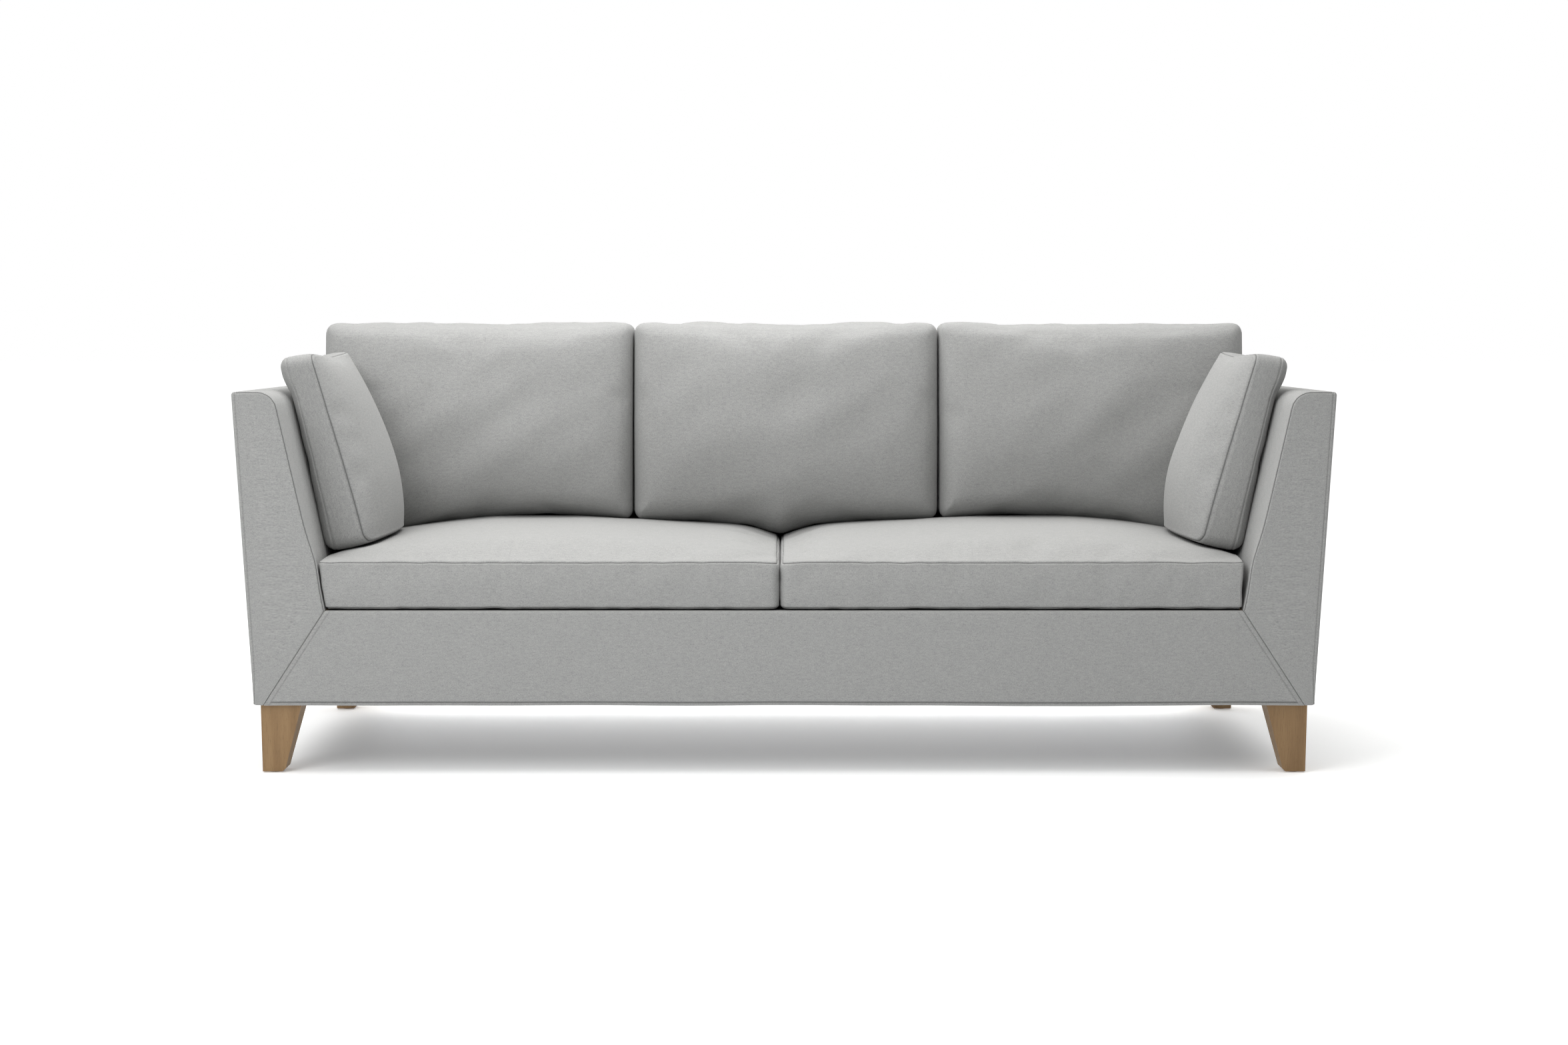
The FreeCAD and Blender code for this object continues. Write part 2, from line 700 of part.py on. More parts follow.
def make_back(holes, foot_holes):
    frame_top = "(arm_top - cloth - top_pad)"
    rail_low = f"({frame_top} - rail)"
    foot_top = "(base + foot_rail)"
    outer_framed = "(cloth + outer_pad + outer_board)"
    board_front = "(cloth + back_hollow + outer_board)"
    board_rear = "(cloth + back_hollow)"

    keep(behind("back_top_rail", "back_front", "back_front", board_front, rail_low, frame_top,
                f"{flank(rail_low)} - {outer_framed}"))
    foot = across("back_foot_blank", outer_framed, "base", foot_top, "back_front",
                  "back_front + foot_rail_depth")
    keep(cut("back_bottom_rail", foot, holes["back_foot"] + foot_holes))
    stiles = []
    for side in SIDES.values():
        for place in ("stile_outer", "stile_inner"):
            stiles.append(prism(f"stile_{len(stiles) + 1}", "YZ", [
                ("back_front", foot_top),
                ("back_front", rail_low),
                (f"{rear(rail_low)} - {board_front}", rail_low),
                (f"{rear(foot_top)} - {board_front}", foot_top),
            ], f"{side} * {place} - stile / 2", f"{side} * {place} + stile / 2"))
    keep(cut("back_stiles", joined("stile_blanks", stiles), holes["stiles"]))
    board_blank = prism("back_board_blank", "YZ", strip(rear, f"-{board_front}", f"-{board_rear}",
                                                       "base", frame_top), "-half_top", "half_top")
    board_ends = across("back_board_ends", outer_framed, "base", frame_top, "back_front", "rear_top")
    keep(common("back_board", board_blank, board_ends))

    bands = []
    for number in range(WEBS):
        x = f"({number} - {WEBS - 1} / 2) * web_pitch"
        bands.append(block(f"web_{number + 1}", f"{x} - web_wide / 2", f"{x} + web_wide / 2",
                           "back_front - web", "back_front", "web_low", "web_high"))
    keep(joined("back_webbing", bands))

    under = "(arm_top - cloth)"
    pad_front = "back_front - web"
    slab = prism("back_pad_slab", "YZ", [
        (f"{rest('deck')} + cloth", "deck"),
        (f"{rest(under)} + cloth", under),
        (pad_front, under),
        (pad_front, "deck"),
    ], "-half_top", "half_top")
    front_pad = common("back_front_pad", slab, well_slab("back_pad_well", "deck", under))
    roll = behind("back_pad_roll", pad_front, pad_front, "cloth", frame_top, under)
    roll_ends = across("back_pad_ends", "cloth", frame_top, under, pad_front, "rear_top")
    keep(joined("back_padding", [front_pad, common("back_top_pad", roll, roll_ends)]))

    shell_depth = behind("back_shell_depth", "arm_rear", "arm_rear", "0", "hem", "arm_top")
    shell_width = across("back_shell_width", "0", "hem", "arm_top", "arm_rear", "rear_top")
    room_depth = behind("back_room_depth", "arm_rear", "arm_rear", "cloth", "hem", under)
    room_width = across("back_room_width", "cloth", "hem", under, "arm_rear", "rear_top")
    shell = cut("back_shell", common("back_shell_blank", shell_depth, shell_width),
                [common("back_shell_room", room_depth, room_width)])
    face = prism("back_face_slab", "YZ", strip(rest, "0", "cloth", "deck", "arm_top"),
                 "-half_top", "half_top")
    skin = common("back_face", face, well_slab("back_face_well", "deck", "arm_top"))
    keep(joined("back_cover", [shell, skin]))


# ---------------------------------------------------------------- loose cushions

def filled(label, shape, core):
    """A cushion's cover with its wadding, cut out for the foam core, and the core itself."""
    keep(cut(f"{label}_cover", shape, [core]))
    keep(core)


def seat_cushion(side_name, side):
    label = f"seat_cushion_{side_name}"
    edge = f"seat_split + {side} * seat_gap / 2"

    def beside_arm(z):
        return f"{side} * ({well(z)} - loose)"

    section = prism(f"{label}_section", "XZ", [
        (edge, "seat_low"),
        (edge, "seat_seam - seat_gap"),
        (f"{side} * seat_slope", "seat_shoulder"),
        (f"{side} * seat_flat_near", "seat_crown"),
        (f"{side} * seat_flat_far", "seat_crown"),
        (f"{side} * seat_flank_x", "seat_flank"),
        (beside_arm("seat_seam"), "seat_seam"),
        (beside_arm("seat_low"), "seat_low"),
    ], "seat_front", "arm_rear")
    profile = prism(f"{label}_profile", "YZ", [
        ("seat_front", "seat_low"),
        ("seat_front", "seat_seam"),
        ("seat_front + seat_brow", "seat_shoulder"),
        ("seat_front + seat_slope", "seat_crown"),
        ("well_rear_deck - seat_fall", "seat_crown"),
        (f"{rest('seat_flank')} - loose", "seat_flank"),
        (f"{rest('seat_low')} - loose", "seat_low"),
    ], *span(side, "-2 * wrap", "well_half_top"))
    low, high = (edge, beside_arm("seat_low")) if side > 0 else (beside_arm("seat_low"), edge)
    core = block(f"{label}_core", f"{low} + wrap", f"{high} - wrap", "seat_front + wrap",
                 f"{rest('seat_low')} - loose - wrap", "seat_low + wrap", "seat_seam - wrap")
    filled(label, common(f"{label}_form", section, profile), core)


def back_profile(label, low_x, high_x):
    """Side view shared by the back cushions: a rounded front, leaning on the back."""
    low = "back_toe_z"
    high = "back_top - back_corner"
    return prism(f"{label}_profile", "YZ", [
        ("back_toe", low),
        ("back_belly", "back_belly_z"),
        ("back_chest", "back_chest_z"),
        ("back_chin", "back_chin_z"),
        ("back_brow", "back_top"),
        (f"{rest(high)} - 2 * back_corner", "back_top"),
        (f"{rest(high)} - loose", high),
        (f"{rest(low)} - loose", low),
    ], low_x, high_x)


def back_core(label, low_x, high_x):
    """Foam slab that leans with the back."""
    low, high = "(seat_crown + back_rest + wrap)", "(back_top - 2 * wrap)"
    return prism(f"{label}_core", "YZ", strip(rest, "-(loose + wrap + back_core)", "-(loose + wrap)",
                                              low, high), low_x, high_x)


def outer_back_cushion(side_name, side):
    label = f"back_cushion_{side_name}"
    edge = f"back_split_{side_name} + {side} * back_gap / 2"
    rested = "(seat_crown + back_rest)"
    over_arm = "(arm_top + 3 * loose)"
    wall = f"{side} * ({well(rested)} - loose)"
    section = prism(f"{label}_section", "XZ", [
        (edge, rested),
        (edge, "back_top"),
        (f"{side} * (back_edge - back_corner / 2)", "back_top"),
        (f"{side} * back_edge", "back_top - back_corner"),
        (f"{side} * back_edge", over_arm),
        (f"{side} * ({well('arm_top')} - loose)", over_arm),
        (wall, rested),
    ], "side_rear", "rear_top")
    low, high = span(side, "seat_flat_near", "back_edge")
    form = common(f"{label}_form", section, back_profile(label, low, high))
    low, high = (edge, wall) if side > 0 else (wall, edge)
    filled(label, form, back_core(label, f"{low} + wrap", f"{high} - wrap"))


def centre_back_cushion():
    label = "back_cushion_centre"
    left, right = "back_split_left + back_gap / 2", "back_split_right - back_gap / 2"
    rested = "seat_crown + back_rest"
    section = prism(f"{label}_section", "XZ", [
        (left, rested),
        (right, rested),
        (right, "back_top"),
        (left, "back_top"),
    ], "side_rear", "rear_top")
    form = common(f"{label}_form", section, back_profile(label, left, right))
    filled(label, form, back_core(label, f"{left} + wrap", f"{right} - wrap"))


def side_cushion(side_name, side):
    """A cushion that leans on the arm, with a wider border at its foot and a crowned inner face."""
    label = f"side_cushion_{side_name}"
    seam_low = "(side_low + 2 * side_border)"
    seam_high = "(side_high + side_border)"

    def bulge(share, reach):
        """A point of the inner face, at a share of its height and of the full bulge."""
        x = between("side_seam_low", "side_seam_high", "0", "1", str(share))
        z = between(seam_low, seam_high, "0", "1", str(share))
        return f"{x} - {reach} * side_bulge", f"{z} + {reach} * side_border"

    form = prism(f"{label}_form", "XZ", mirrored(side, [
        (f"{well('side_low')} - loose", "side_low"),
        (f"{well('side_high')} - loose", "side_high"),
        ("side_seam_high", seam_high),
        bulge(0.75, 0.7),
        bulge(0.5, 1),
        bulge(0.25, 0.8),
        ("side_seam_low", seam_low),
    ]), "side_front", "side_rear")
    low, high = "(side_low + 2 * wrap)", "(side_high - 2 * wrap)"
    core = prism(f"{label}_core", "XZ", mirrored(side, strip(
        well, "-(loose + wrap + side_core)", "-(loose + wrap)", low, high)),
        "side_front + wrap", "side_rear - wrap")
    filled(label, form, core)


# ---------------------------------------------------------------- the sofa

leg_holes = make_legs()
bolt_holes = make_frame_bolts()
make_base(bolt_holes)
make_springs()
make_spring_clips()
make_seat_front()
make_dust_cover()
for arm_side, sign in SIDES.items():
    make_arm(arm_side, sign, bolt_holes, leg_holes[f"front_{arm_side}"])
make_back(bolt_holes, leg_holes["rear_left"] + leg_holes["rear_right"])
for cushion_side, sign in SIDES.items():
    seat_cushion(cushion_side, sign)
    outer_back_cushion(cushion_side, sign)
    side_cushion(cushion_side, sign)
centre_back_cushion()
doc.recompute()

faults = [f"{thing.Label}: {thing.State}" for thing in doc.Objects
          if "Invalid" in thing.State or "Error" in thing.State]
faults += [f"{piece.Label}: bad shape" for piece in nodes
           if piece.Shape.isNull() or not piece.Shape.isValid() or not piece.Shape.Solids]
if faults:
    raise SystemExit("\n".join(faults))

os.makedirs("parts", exist_ok=True)
for piece in nodes:
    piece.Shape.exportStep(f"parts/{piece.Label}.step")
print(len(nodes), "pieces written")
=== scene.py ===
"""Looks of the three-seat sofa with wooden legs: upholstery, cushions, timber, floor, light, camera.

Everything is in metres in the CAD frame: X across, Y to the rear, Z up.
"""
import math

import bpy
import numpy as np
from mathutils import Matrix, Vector, kdtree, noise


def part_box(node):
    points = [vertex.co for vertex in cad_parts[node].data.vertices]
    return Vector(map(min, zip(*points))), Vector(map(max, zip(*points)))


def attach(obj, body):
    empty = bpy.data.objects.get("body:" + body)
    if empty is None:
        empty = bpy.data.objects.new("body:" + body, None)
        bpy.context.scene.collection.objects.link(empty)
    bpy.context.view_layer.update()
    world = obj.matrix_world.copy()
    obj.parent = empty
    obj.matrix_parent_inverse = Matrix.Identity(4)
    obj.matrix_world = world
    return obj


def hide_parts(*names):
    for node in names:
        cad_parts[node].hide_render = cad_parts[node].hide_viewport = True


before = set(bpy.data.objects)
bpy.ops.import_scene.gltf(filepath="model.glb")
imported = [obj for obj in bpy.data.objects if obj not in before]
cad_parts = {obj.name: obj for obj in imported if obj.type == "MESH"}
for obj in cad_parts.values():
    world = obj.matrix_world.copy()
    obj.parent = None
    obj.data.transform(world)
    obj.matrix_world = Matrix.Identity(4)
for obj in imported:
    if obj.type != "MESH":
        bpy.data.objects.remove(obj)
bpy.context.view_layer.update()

SIDES = {"left": -1, "right": 1}
MM = 0.001
NEAR = 0.1 * MM      # closer than this counts as on a face or an edge


# ---- what the frame says

def mesh_points(mesh):
    flat = np.empty(len(mesh.vertices) * 3, np.float32)
    mesh.vertices.foreach_get("co", flat)
    return flat.reshape(-1, 3)


def cad_points(node):
    return mesh_points(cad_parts[node].data).astype(float)


def at_height(points, z):
    return points[np.abs(points[:, 2] - z) < NEAR]


def line(low, high):
    """The straight line through two (z, value) pairs, as a function of z."""
    slope = (high[1] - low[1]) / (high[0] - low[0])
    return lambda z: low[1] + slope * (z - low[0])


arm_points = cad_points("right_arm_cover")
back_points = cad_points("back_cover")
arm_low, arm_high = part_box("right_arm_cover")
rail_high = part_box("front_rail_cover")[1]
back_low, back_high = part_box("back_cover")
HEM, ARM_TOP, DECK = arm_low.z, arm_high.z, rail_high.z
FRONT, ARM_REAR = arm_low.y, arm_high.y

flank = line((HEM, at_height(arm_points, HEM)[:, 0].max()), (ARM_TOP, arm_high.x))
well = line((DECK, arm_low.x), (ARM_TOP, at_height(arm_points, ARM_TOP)[:, 0].min()))
mitre = line((HEM, rail_high.x), (DECK, arm_low.x))
rear = line((HEM, at_height(back_points, HEM)[:, 1].max()), (ARM_TOP, back_high.y))
rest = line((DECK, back_low.y), (ARM_TOP, ARM_REAR))


# ---- forms: a box's skin, softened

SEAM_MARKS = [0.0, 0.0012, 0.0028, 0.0055, 0.0095]
BELT = [-0.007, -0.0045, -0.0028, -0.0012, 0.0, 0.0012, 0.0028, 0.0045, 0.007]
GROOVE = 0.0013      # half width of a sewn seam, its depth, and the rise of the cloth beside it
GROOVE_DEEP = 0.0016
LIP = 0.0005
CLOTH_THICK = 0.002


def unit(value):
    return np.clip(value, 0, 1)


def smooth(value):
    value = unit(value)
    return value * value * (3 - 2 * value)


def part(value, half):
    """0 at -half, 1 at half."""
    return (value + half) / (2 * half)


def arch(value, half):
    """1 in the middle, 0 at -half and half."""
    return unit(1 - (value / half) ** 2)


def sewn(away, wide=GROOVE):
    """1 on a line, fading to 0 beside it."""
    return np.exp(-(away / wide) ** 2)


def round_marks(radius):
    """Distances from an edge that step evenly round a corner of that radius."""
    return [radius * (1 - math.tan(math.radians(turn))) for turn in (45, 30, 15, 0)]


def ruled(half, step, low_marks=(0.0,), high_marks=(0.0,), extra=()):
    """Grid lines from -half to half: marks near each end, evenly spaced between."""
    low = sorted({round(-half + mark, 5) for mark in low_marks} | {round(-half, 5)})
    high = sorted({round(half - mark, 5) for mark in high_marks} | {round(half, 5)})
    count = max(1, round((high[0] - low[-1]) / step))
    middle = [low[-1] + (high[0] - low[-1]) * k / count for k in range(1, count)]
    lines = sorted(low + middle + high + list(extra))
    kept = [lines[0]]
    for value in lines[1:-1]:
        if value - kept[-1] > 0.5 * MM and lines[-1] - value > 0.5 * MM:
            kept.append(value)
    return np.array(kept + [lines[-1]])


def box_skin(a, b, c, keep=None):
    """Points, quads and cloth coordinates of the outside of a box with those grid lines."""
    index, points, quads, cloth = {}, [], [], []
    last = (len(a) - 1, len(b) - 1, len(c) - 1)

    def vertex(i, j, k):
        key = (i, j, k)
        if key not in index:
            index[key] = len(points)
            points.append((a[i], b[j], c[k]))
        return index[key]

    lines = (a, b, c)
    for normal, u, v in ((0, 1, 2), (1, 2, 0), (2, 0, 1)):
        for end in (0, last[normal]):
            for m in range(last[u]):
                for n in range(last[v]):
                    corners = [(m, n), (m + 1, n), (m + 1, n + 1), (m, n + 1)]
                    if end == 0:
                        corners.reverse()
                    face = []
                    for at_u, at_v in corners:
                        key = [0, 0, 0]
                        key[normal], key[u], key[v] = end, at_u, at_v
                        face.append(tuple(key))
                    middle = np.mean([[lines[axis][key[axis]] for axis in range(3)]
                                      for key in face], axis=0)
                    side = "abc"[normal] + ("-" if end == 0 else "+")
                    if keep and not keep(side, middle):
                        continue
                    quads.append([vertex(*key) for key in face])
                    first, second = {0: (1, 2), 1: (0, 2), 2: (0, 1)}[normal]
                    cloth.append([(lines[first][key[first]], lines[second][key[second]]) for key in face])
    return np.array(points, float), quads, cloth


def soften(points, half, plan, top, foot, top_seam=True, foot_seam=True, stitches=(), girdle=None):
    """Rounds a box's skin.  Returns the points and how much painted shade each one gets in the sewn
    grooves.

    plan rounds the four corners seen along c: one radius, or a function of the points' signs.
    top and foot round the edges at the ends of c: one radius each, or a function of the points.
    top_seam and foot_seam sew those edges as grooves with painted shade in them: True, or a function that
    says how strongly.
    stitches are (axis, value, shade, depth) lines sewn into the top face; shade is how dark the painted
    shade in their groove is.
    girdle is the c of a sewn line that runs round the sides, with faint painted shade in its groove.
    """
    a, b, c = points.T.copy()
    half_a, half_b, half_c = half
    radius = plan(a, b) if callable(plan) else np.full(len(a), plan)
    near_a = np.clip(a, -(half_a - radius), half_a - radius)
    near_b = np.clip(b, -(half_b - radius), half_b - radius)
    out_a, out_b = a - near_a, b - near_b
    length = np.hypot(out_a, out_b)
    reach = np.maximum(np.abs(out_a), np.abs(out_b))
    in_corner = length > 1e-9
    safe = np.where(in_corner, length, 1.0)
    inward = np.where(in_corner, radius - reach, np.minimum(half_a - np.abs(a), half_b - np.abs(b)))
    nearer_a = half_a - np.abs(a) < half_b - np.abs(b)
    normal_a = np.where(in_corner, out_a / safe, np.where(nearer_a, np.sign(a), 0.0))
    normal_b = np.where(in_corner, out_b / safe, np.where(nearer_a, 0.0, np.sign(b)))
    flat_a = near_a + out_a * np.where(in_corner, reach / safe, 1.0)
    flat_b = near_b + out_b * np.where(in_corner, reach / safe, 1.0)
    # painted shade: how much each point's colour is darkened as if shadowed in a sewn groove
    seam_shade = np.zeros(len(a))
    new_c = c.copy()
    for sign, edge, seamed in ((1, top, top_seam), (-1, foot, foot_seam)):
        edge_radius = edge(points) if callable(edge) else np.full(len(a), edge)
        down = half_c - sign * c
        zone = (inward < edge_radius) & (down < edge_radius)
        over_e, over_w = edge_radius - inward, edge_radius - down
        span = np.where(zone, np.hypot(over_e, over_w), 1.0)
        new_e = np.where(zone, edge_radius - over_e * edge_radius / span, inward)
        new_w = np.where(zone, edge_radius - over_w * edge_radius / span, down)
        tilt_e = np.where(zone, over_e / span, np.where(down < inward, 0.0, 1.0))
        tilt_w = np.where(zone, over_w / span, np.where(down < inward, 1.0, 0.0))
        away = np.maximum(inward, down)
        push = np.zeros(len(a))
        if seamed is not False:
            here = seamed(points) if callable(seamed) else 1.0
            close = (np.minimum(inward, down) < NEAR) * here
            push = close * (LIP * sewn(away - 0.0055, 0.0032) - GROOVE_DEEP * sewn(away))
            # painted shade in the groove of a sewn edge
            seam_shade = np.maximum(seam_shade, close * sewn(away))
        active = (down < half_c) | zone
        move = np.where(active, push * tilt_e - (new_e - inward), 0.0)
        flat_a = flat_a + normal_a * move
        flat_b = flat_b + normal_b * move
        new_c = np.where(active, sign * (half_c - new_w + push * tilt_w), new_c)
    on_top = (half_c - c) < NEAR
    for axis, value, shade, depth in stitches:
        away = np.abs(points[:, axis] - value)
        mark = on_top * sewn(away)
        new_c -= depth * (mark - 0.3 * on_top * sewn(away - 0.004, 0.002))
        # painted shade in the stitch's groove
        seam_shade = np.maximum(seam_shade, shade * mark)
    if girdle is not None:
        away = np.abs(c - girdle)
        mark = (inward < NEAR) * sewn(away)
        push = LIP * (inward < NEAR) * sewn(away - 0.0045, 0.0025) - 0.5 * GROOVE_DEEP * mark
        flat_a += normal_a * push
        flat_b += normal_b * push
        # faint painted shade in the girdle's groove
        seam_shade = np.maximum(seam_shade, 0.1 * mark)
    return np.column_stack([flat_a, flat_b, new_c]), seam_shade


def faces_outward(points, quads):
    """Whether the faces, taken together, turn away from their own middle."""
    corners = points[np.array(quads)]
    across = np.cross(corners[:, 2] - corners[:, 0], corners[:, 3] - corners[:, 1])
    return (across * (corners.mean(axis=1) - points.mean(axis=0))).sum() > 0


def linked(name, data):
    """A new object in the scene."""
    piece = bpy.data.objects.new(name, data)
    bpy.context.scene.collection.objects.link(piece)
    return piece


def make_piece(name, points, quads, cloth, seam_shade, material, body, slot, *nodes):
    """A smooth mesh object that rides on a body and stands for CAD nodes."""
    if not faces_outward(points, quads):
        quads = [face[::-1] for face in quads]
        cloth = [face[::-1] for face in cloth]
    mesh = bpy.data.meshes.new(name)
    mesh.from_pydata([tuple(point) for point in points], [], quads)
    layer = mesh.uv_layers.new(name="cloth")
    flat = np.array([pair for face in cloth for pair in face], np.float32).ravel()
    layer.data.foreach_set("uv", flat)
    # painted shade along the sewn grooves, kept for the fabric's colour to darken by
    attribute = mesh.attributes.new("seam_shade", "FLOAT", "POINT")
    attribute.data.foreach_set("value", np.asarray(seam_shade, np.float32))
    mesh.polygons.foreach_set("use_smooth", [True] * len(quads))
    mesh.validate()
    piece = linked(name, mesh)
    mesh.materials.append(material)
    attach(piece, body)
    if nodes:
        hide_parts(*nodes)
    return piece


def thicken(piece, thickness):
    """Gives an open cover its cloth thickness, inwards."""
    solid = piece.modifiers.new("thickness", "SOLIDIFY")
    solid.thickness = thickness
    solid.offset = -1
    solid.use_even_offset = False


# ---- cloth simulation

SIM_FRAMES = 18
sims = []


def queue_sim(points, quads, pinned, pressure, slack):
    """Sets up a closed cloth skin to be blown up with the others.  Returns its place in the queue."""
    if not faces_outward(points, quads):
        quads = [face[::-1] for face in quads]
    mesh = bpy.data.meshes.new("sim")
    mesh.from_pydata([tuple(point) for point in points], [], quads)
    skin = linked(f"sim_{len(sims)}", mesh)
    group = skin.vertex_groups.new(name="seams")
    group.add([int(number) for number in pinned], 1.0, "REPLACE")
    cloth = skin.modifiers.new("cloth", "CLOTH")
    settings = cloth.settings
    for key, value in dict(quality=4, mass=0.25, tension_stiffness=18, compression_stiffness=12,
                           shear_stiffness=6, bending_stiffness=0.6, air_damping=3, use_pressure=True,
                           uniform_pressure_force=pressure, vertex_group_mass="seams",
                           shrink_min=-slack).items():
        setattr(settings, key, value)
    settings.effector_weights.gravity = 0
    cloth.collision_settings.use_self_collision = False
    cloth.point_cache.frame_start = 1
    cloth.point_cache.frame_end = SIM_FRAMES
    sims.append((skin, points))
    return len(sims) - 1


def run_sims():
    """Steps all queued skins together and returns how far each one's points moved."""
    scene = bpy.context.scene
    moved = []
    for number in range(1, SIM_FRAMES + 1):
        scene.frame_set(number)
    depsgraph = bpy.context.evaluated_depsgraph_get()
    for skin, points in sims:
        moved.append(mesh_points(skin.evaluated_get(depsgraph).data) - points)
    scene.frame_set(1)
    for skin, _ in sims:
        mesh = skin.data
        bpy.data.objects.remove(skin)
        bpy.data.meshes.remove(mesh)
    return moved


def carry_over(coarse, moved, fine, cap):
    """Spreads the coarse skin's movement over the fine one, never more than cap."""
    length = np.linalg.norm(moved, axis=1, keepdims=True)
    limited = moved * (cap * np.tanh(length / cap) / np.maximum(length, 1e-9))
    tree = kdtree.KDTree(len(coarse))
    for number, point in enumerate(coarse):
        tree.insert(point, number)
    tree.balance()
    spread = np.zeros_like(fine)
    for number, point in enumerate(fine):
        found = tree.find_n(point, 9)
        far = found[-1][2]
        weights = np.array([(1 - (hit[2] / (far * 1.05)) ** 2) ** 2 for hit in found])
        spread[number] = weights @ limited[[hit[1] for hit in found]] / weights.sum()
    return spread


def ripple(points, scale, seed):
    """Smooth noise from -1 to 1 at each point."""
    shift = Vector((seed * 3.7, seed * 1.3, seed * 2.1))
    return np.array([noise.noise(Vector(point) * scale + shift) for point in points]) * 2


# ---- shapes of the loose cushions

seat_boxes = {side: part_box(f"seat_cushion_{side}_cover") for side in SIDES}
SEAT_LOW = seat_boxes["left"][0].z
SEAT_CROWN = seat_boxes["left"][1].z
SEAT_FRONT = seat_boxes["left"][0].y
seat_points = cad_points("seat_cushion_left_cover")
SEAT_SEAM = seat_points[seat_points[:, 1] < SEAT_FRONT + MM][:, 2].max()
SEAT_SPLIT = (seat_boxes["left"][1].x + seat_boxes["right"][0].x) / 2
LOOSE = well(SEAT_SEAM) - seat_boxes["right"][1].x
SHOULDER, SHOULDER_REACH, DOME_REACH = 0.62, 0.062, 0.40
RIGHT_TUCK = 18 * MM      # how much further the right seat cushion's front narrows towards its top
TUCK_REACH = 0.12
CLEAR = 0.003
GAP_CORNER, ARM_CORNER, REAR_CORNER = 0.016, 0.006, 0.014


def swell_in(distance, reach, power=2.2):
    """0 at an edge, rising smoothly to 1 at the reach."""
    return 1 - unit(1 - distance / reach) ** power


def seat_crown(inner, outer, ahead):
    """Share of the seat cushion's full crown, from the distances to its inner, outer and front edges."""
    shoulder = 1 - np.exp(-(np.maximum(inner, 0) / SHOULDER_REACH) ** 1.3)
    dome = smooth((inner - 0.1) / DOME_REACH)
    ahead = 0.6 * swell_in(ahead, 0.15) + 0.4 * swell_in(ahead, 0.42)
    return (SHOULDER * shoulder + (1 - SHOULDER) * dome) * swell_in(outer, DOME_REACH) * ahead


def seat_top(x, y):
    """Height of the seat cushions' upper faces."""
    inner = np.abs(x - SEAT_SPLIT) - 0.002
    outer = well(SEAT_SEAM) - LOOSE - np.abs(x)
    return SEAT_SEAM + (SEAT_CROWN - SEAT_SEAM) * seat_crown(inner, outer, y - SEAT_FRONT)


def tucked(z):
    """How far the arm's padding pushes in beside the seat cushion's front."""
    return 5.5 * MM * np.exp(-((z - SEAT_SEAM) / 0.045) ** 2)


class Cushion:
    """A closed form in fine and coarse grids, whose place in the sofa is given by a shape function."""

    def __init__(self, name, half, radii, edges, shape, seams=(True, True), girdle=None,
                 step=0.009, coarse=0.016):
        self.name, self.half, self.shape = name, half, shape
        plan, top, foot = edges
        rims = sorted({mark for radius in radii for mark in round_marks(radius)} | set(SEAM_MARKS))
        belt = () if girdle is None else tuple(girdle + shift for shift in BELT)
        a, b = (ruled(value, step, rims, rims) for value in half[:2])
        c = ruled(half[2], step, rims, rims, belt)
        self.local, self.quads, self.cloth = box_skin(a, b, c)
        self.rounded, self.seam_shade = soften(self.local, half, plan, top, foot, *seams, (), girdle)
        rough = [0.0, max(radii) * 0.5]
        a, b = (ruled(value, coarse, rough, rough) for value in half[:2])
        c = ruled(half[2], coarse)
        local, self.coarse_quads, _ = box_skin(a, b, c)
        rounded, _ = soften(local, half, plan, top, foot, False, False)
        self.coarse = shape(rounded)
        at_a, at_b, _ = (np.abs(np.abs(local) - half) < NEAR).T
        on_top = np.abs(local[:, 2] - half[2]) < NEAR
        on_foot = np.abs(local[:, 2] + half[2]) < NEAR
        self.pinned = np.nonzero((at_a | at_b) & (on_top & seams[0] | on_foot & seams[1]))[0]
        self.steady_sides = False

    def simulate(self, settle, pressure, slack, cap):
        self.settle, self.cap = settle, cap
        self.place = queue_sim(self.coarse, self.coarse_quads, self.pinned, pressure, slack)

    def finish(self, moved, material, body, *nodes):
        world = self.shape(self.rounded)
        shift = carry_over(self.coarse, moved[self.place], world, self.cap)
        if self.steady_sides:
            shift[:, 0] *= smooth((self.half[0] - np.abs(self.local[:, 0])) / 0.06)
        world = self.settle(world + shift, self.local)
        return make_piece(self.name, world, self.quads, self.cloth, self.seam_shade, material, body,
                          "upholstery_fabric", *nodes)


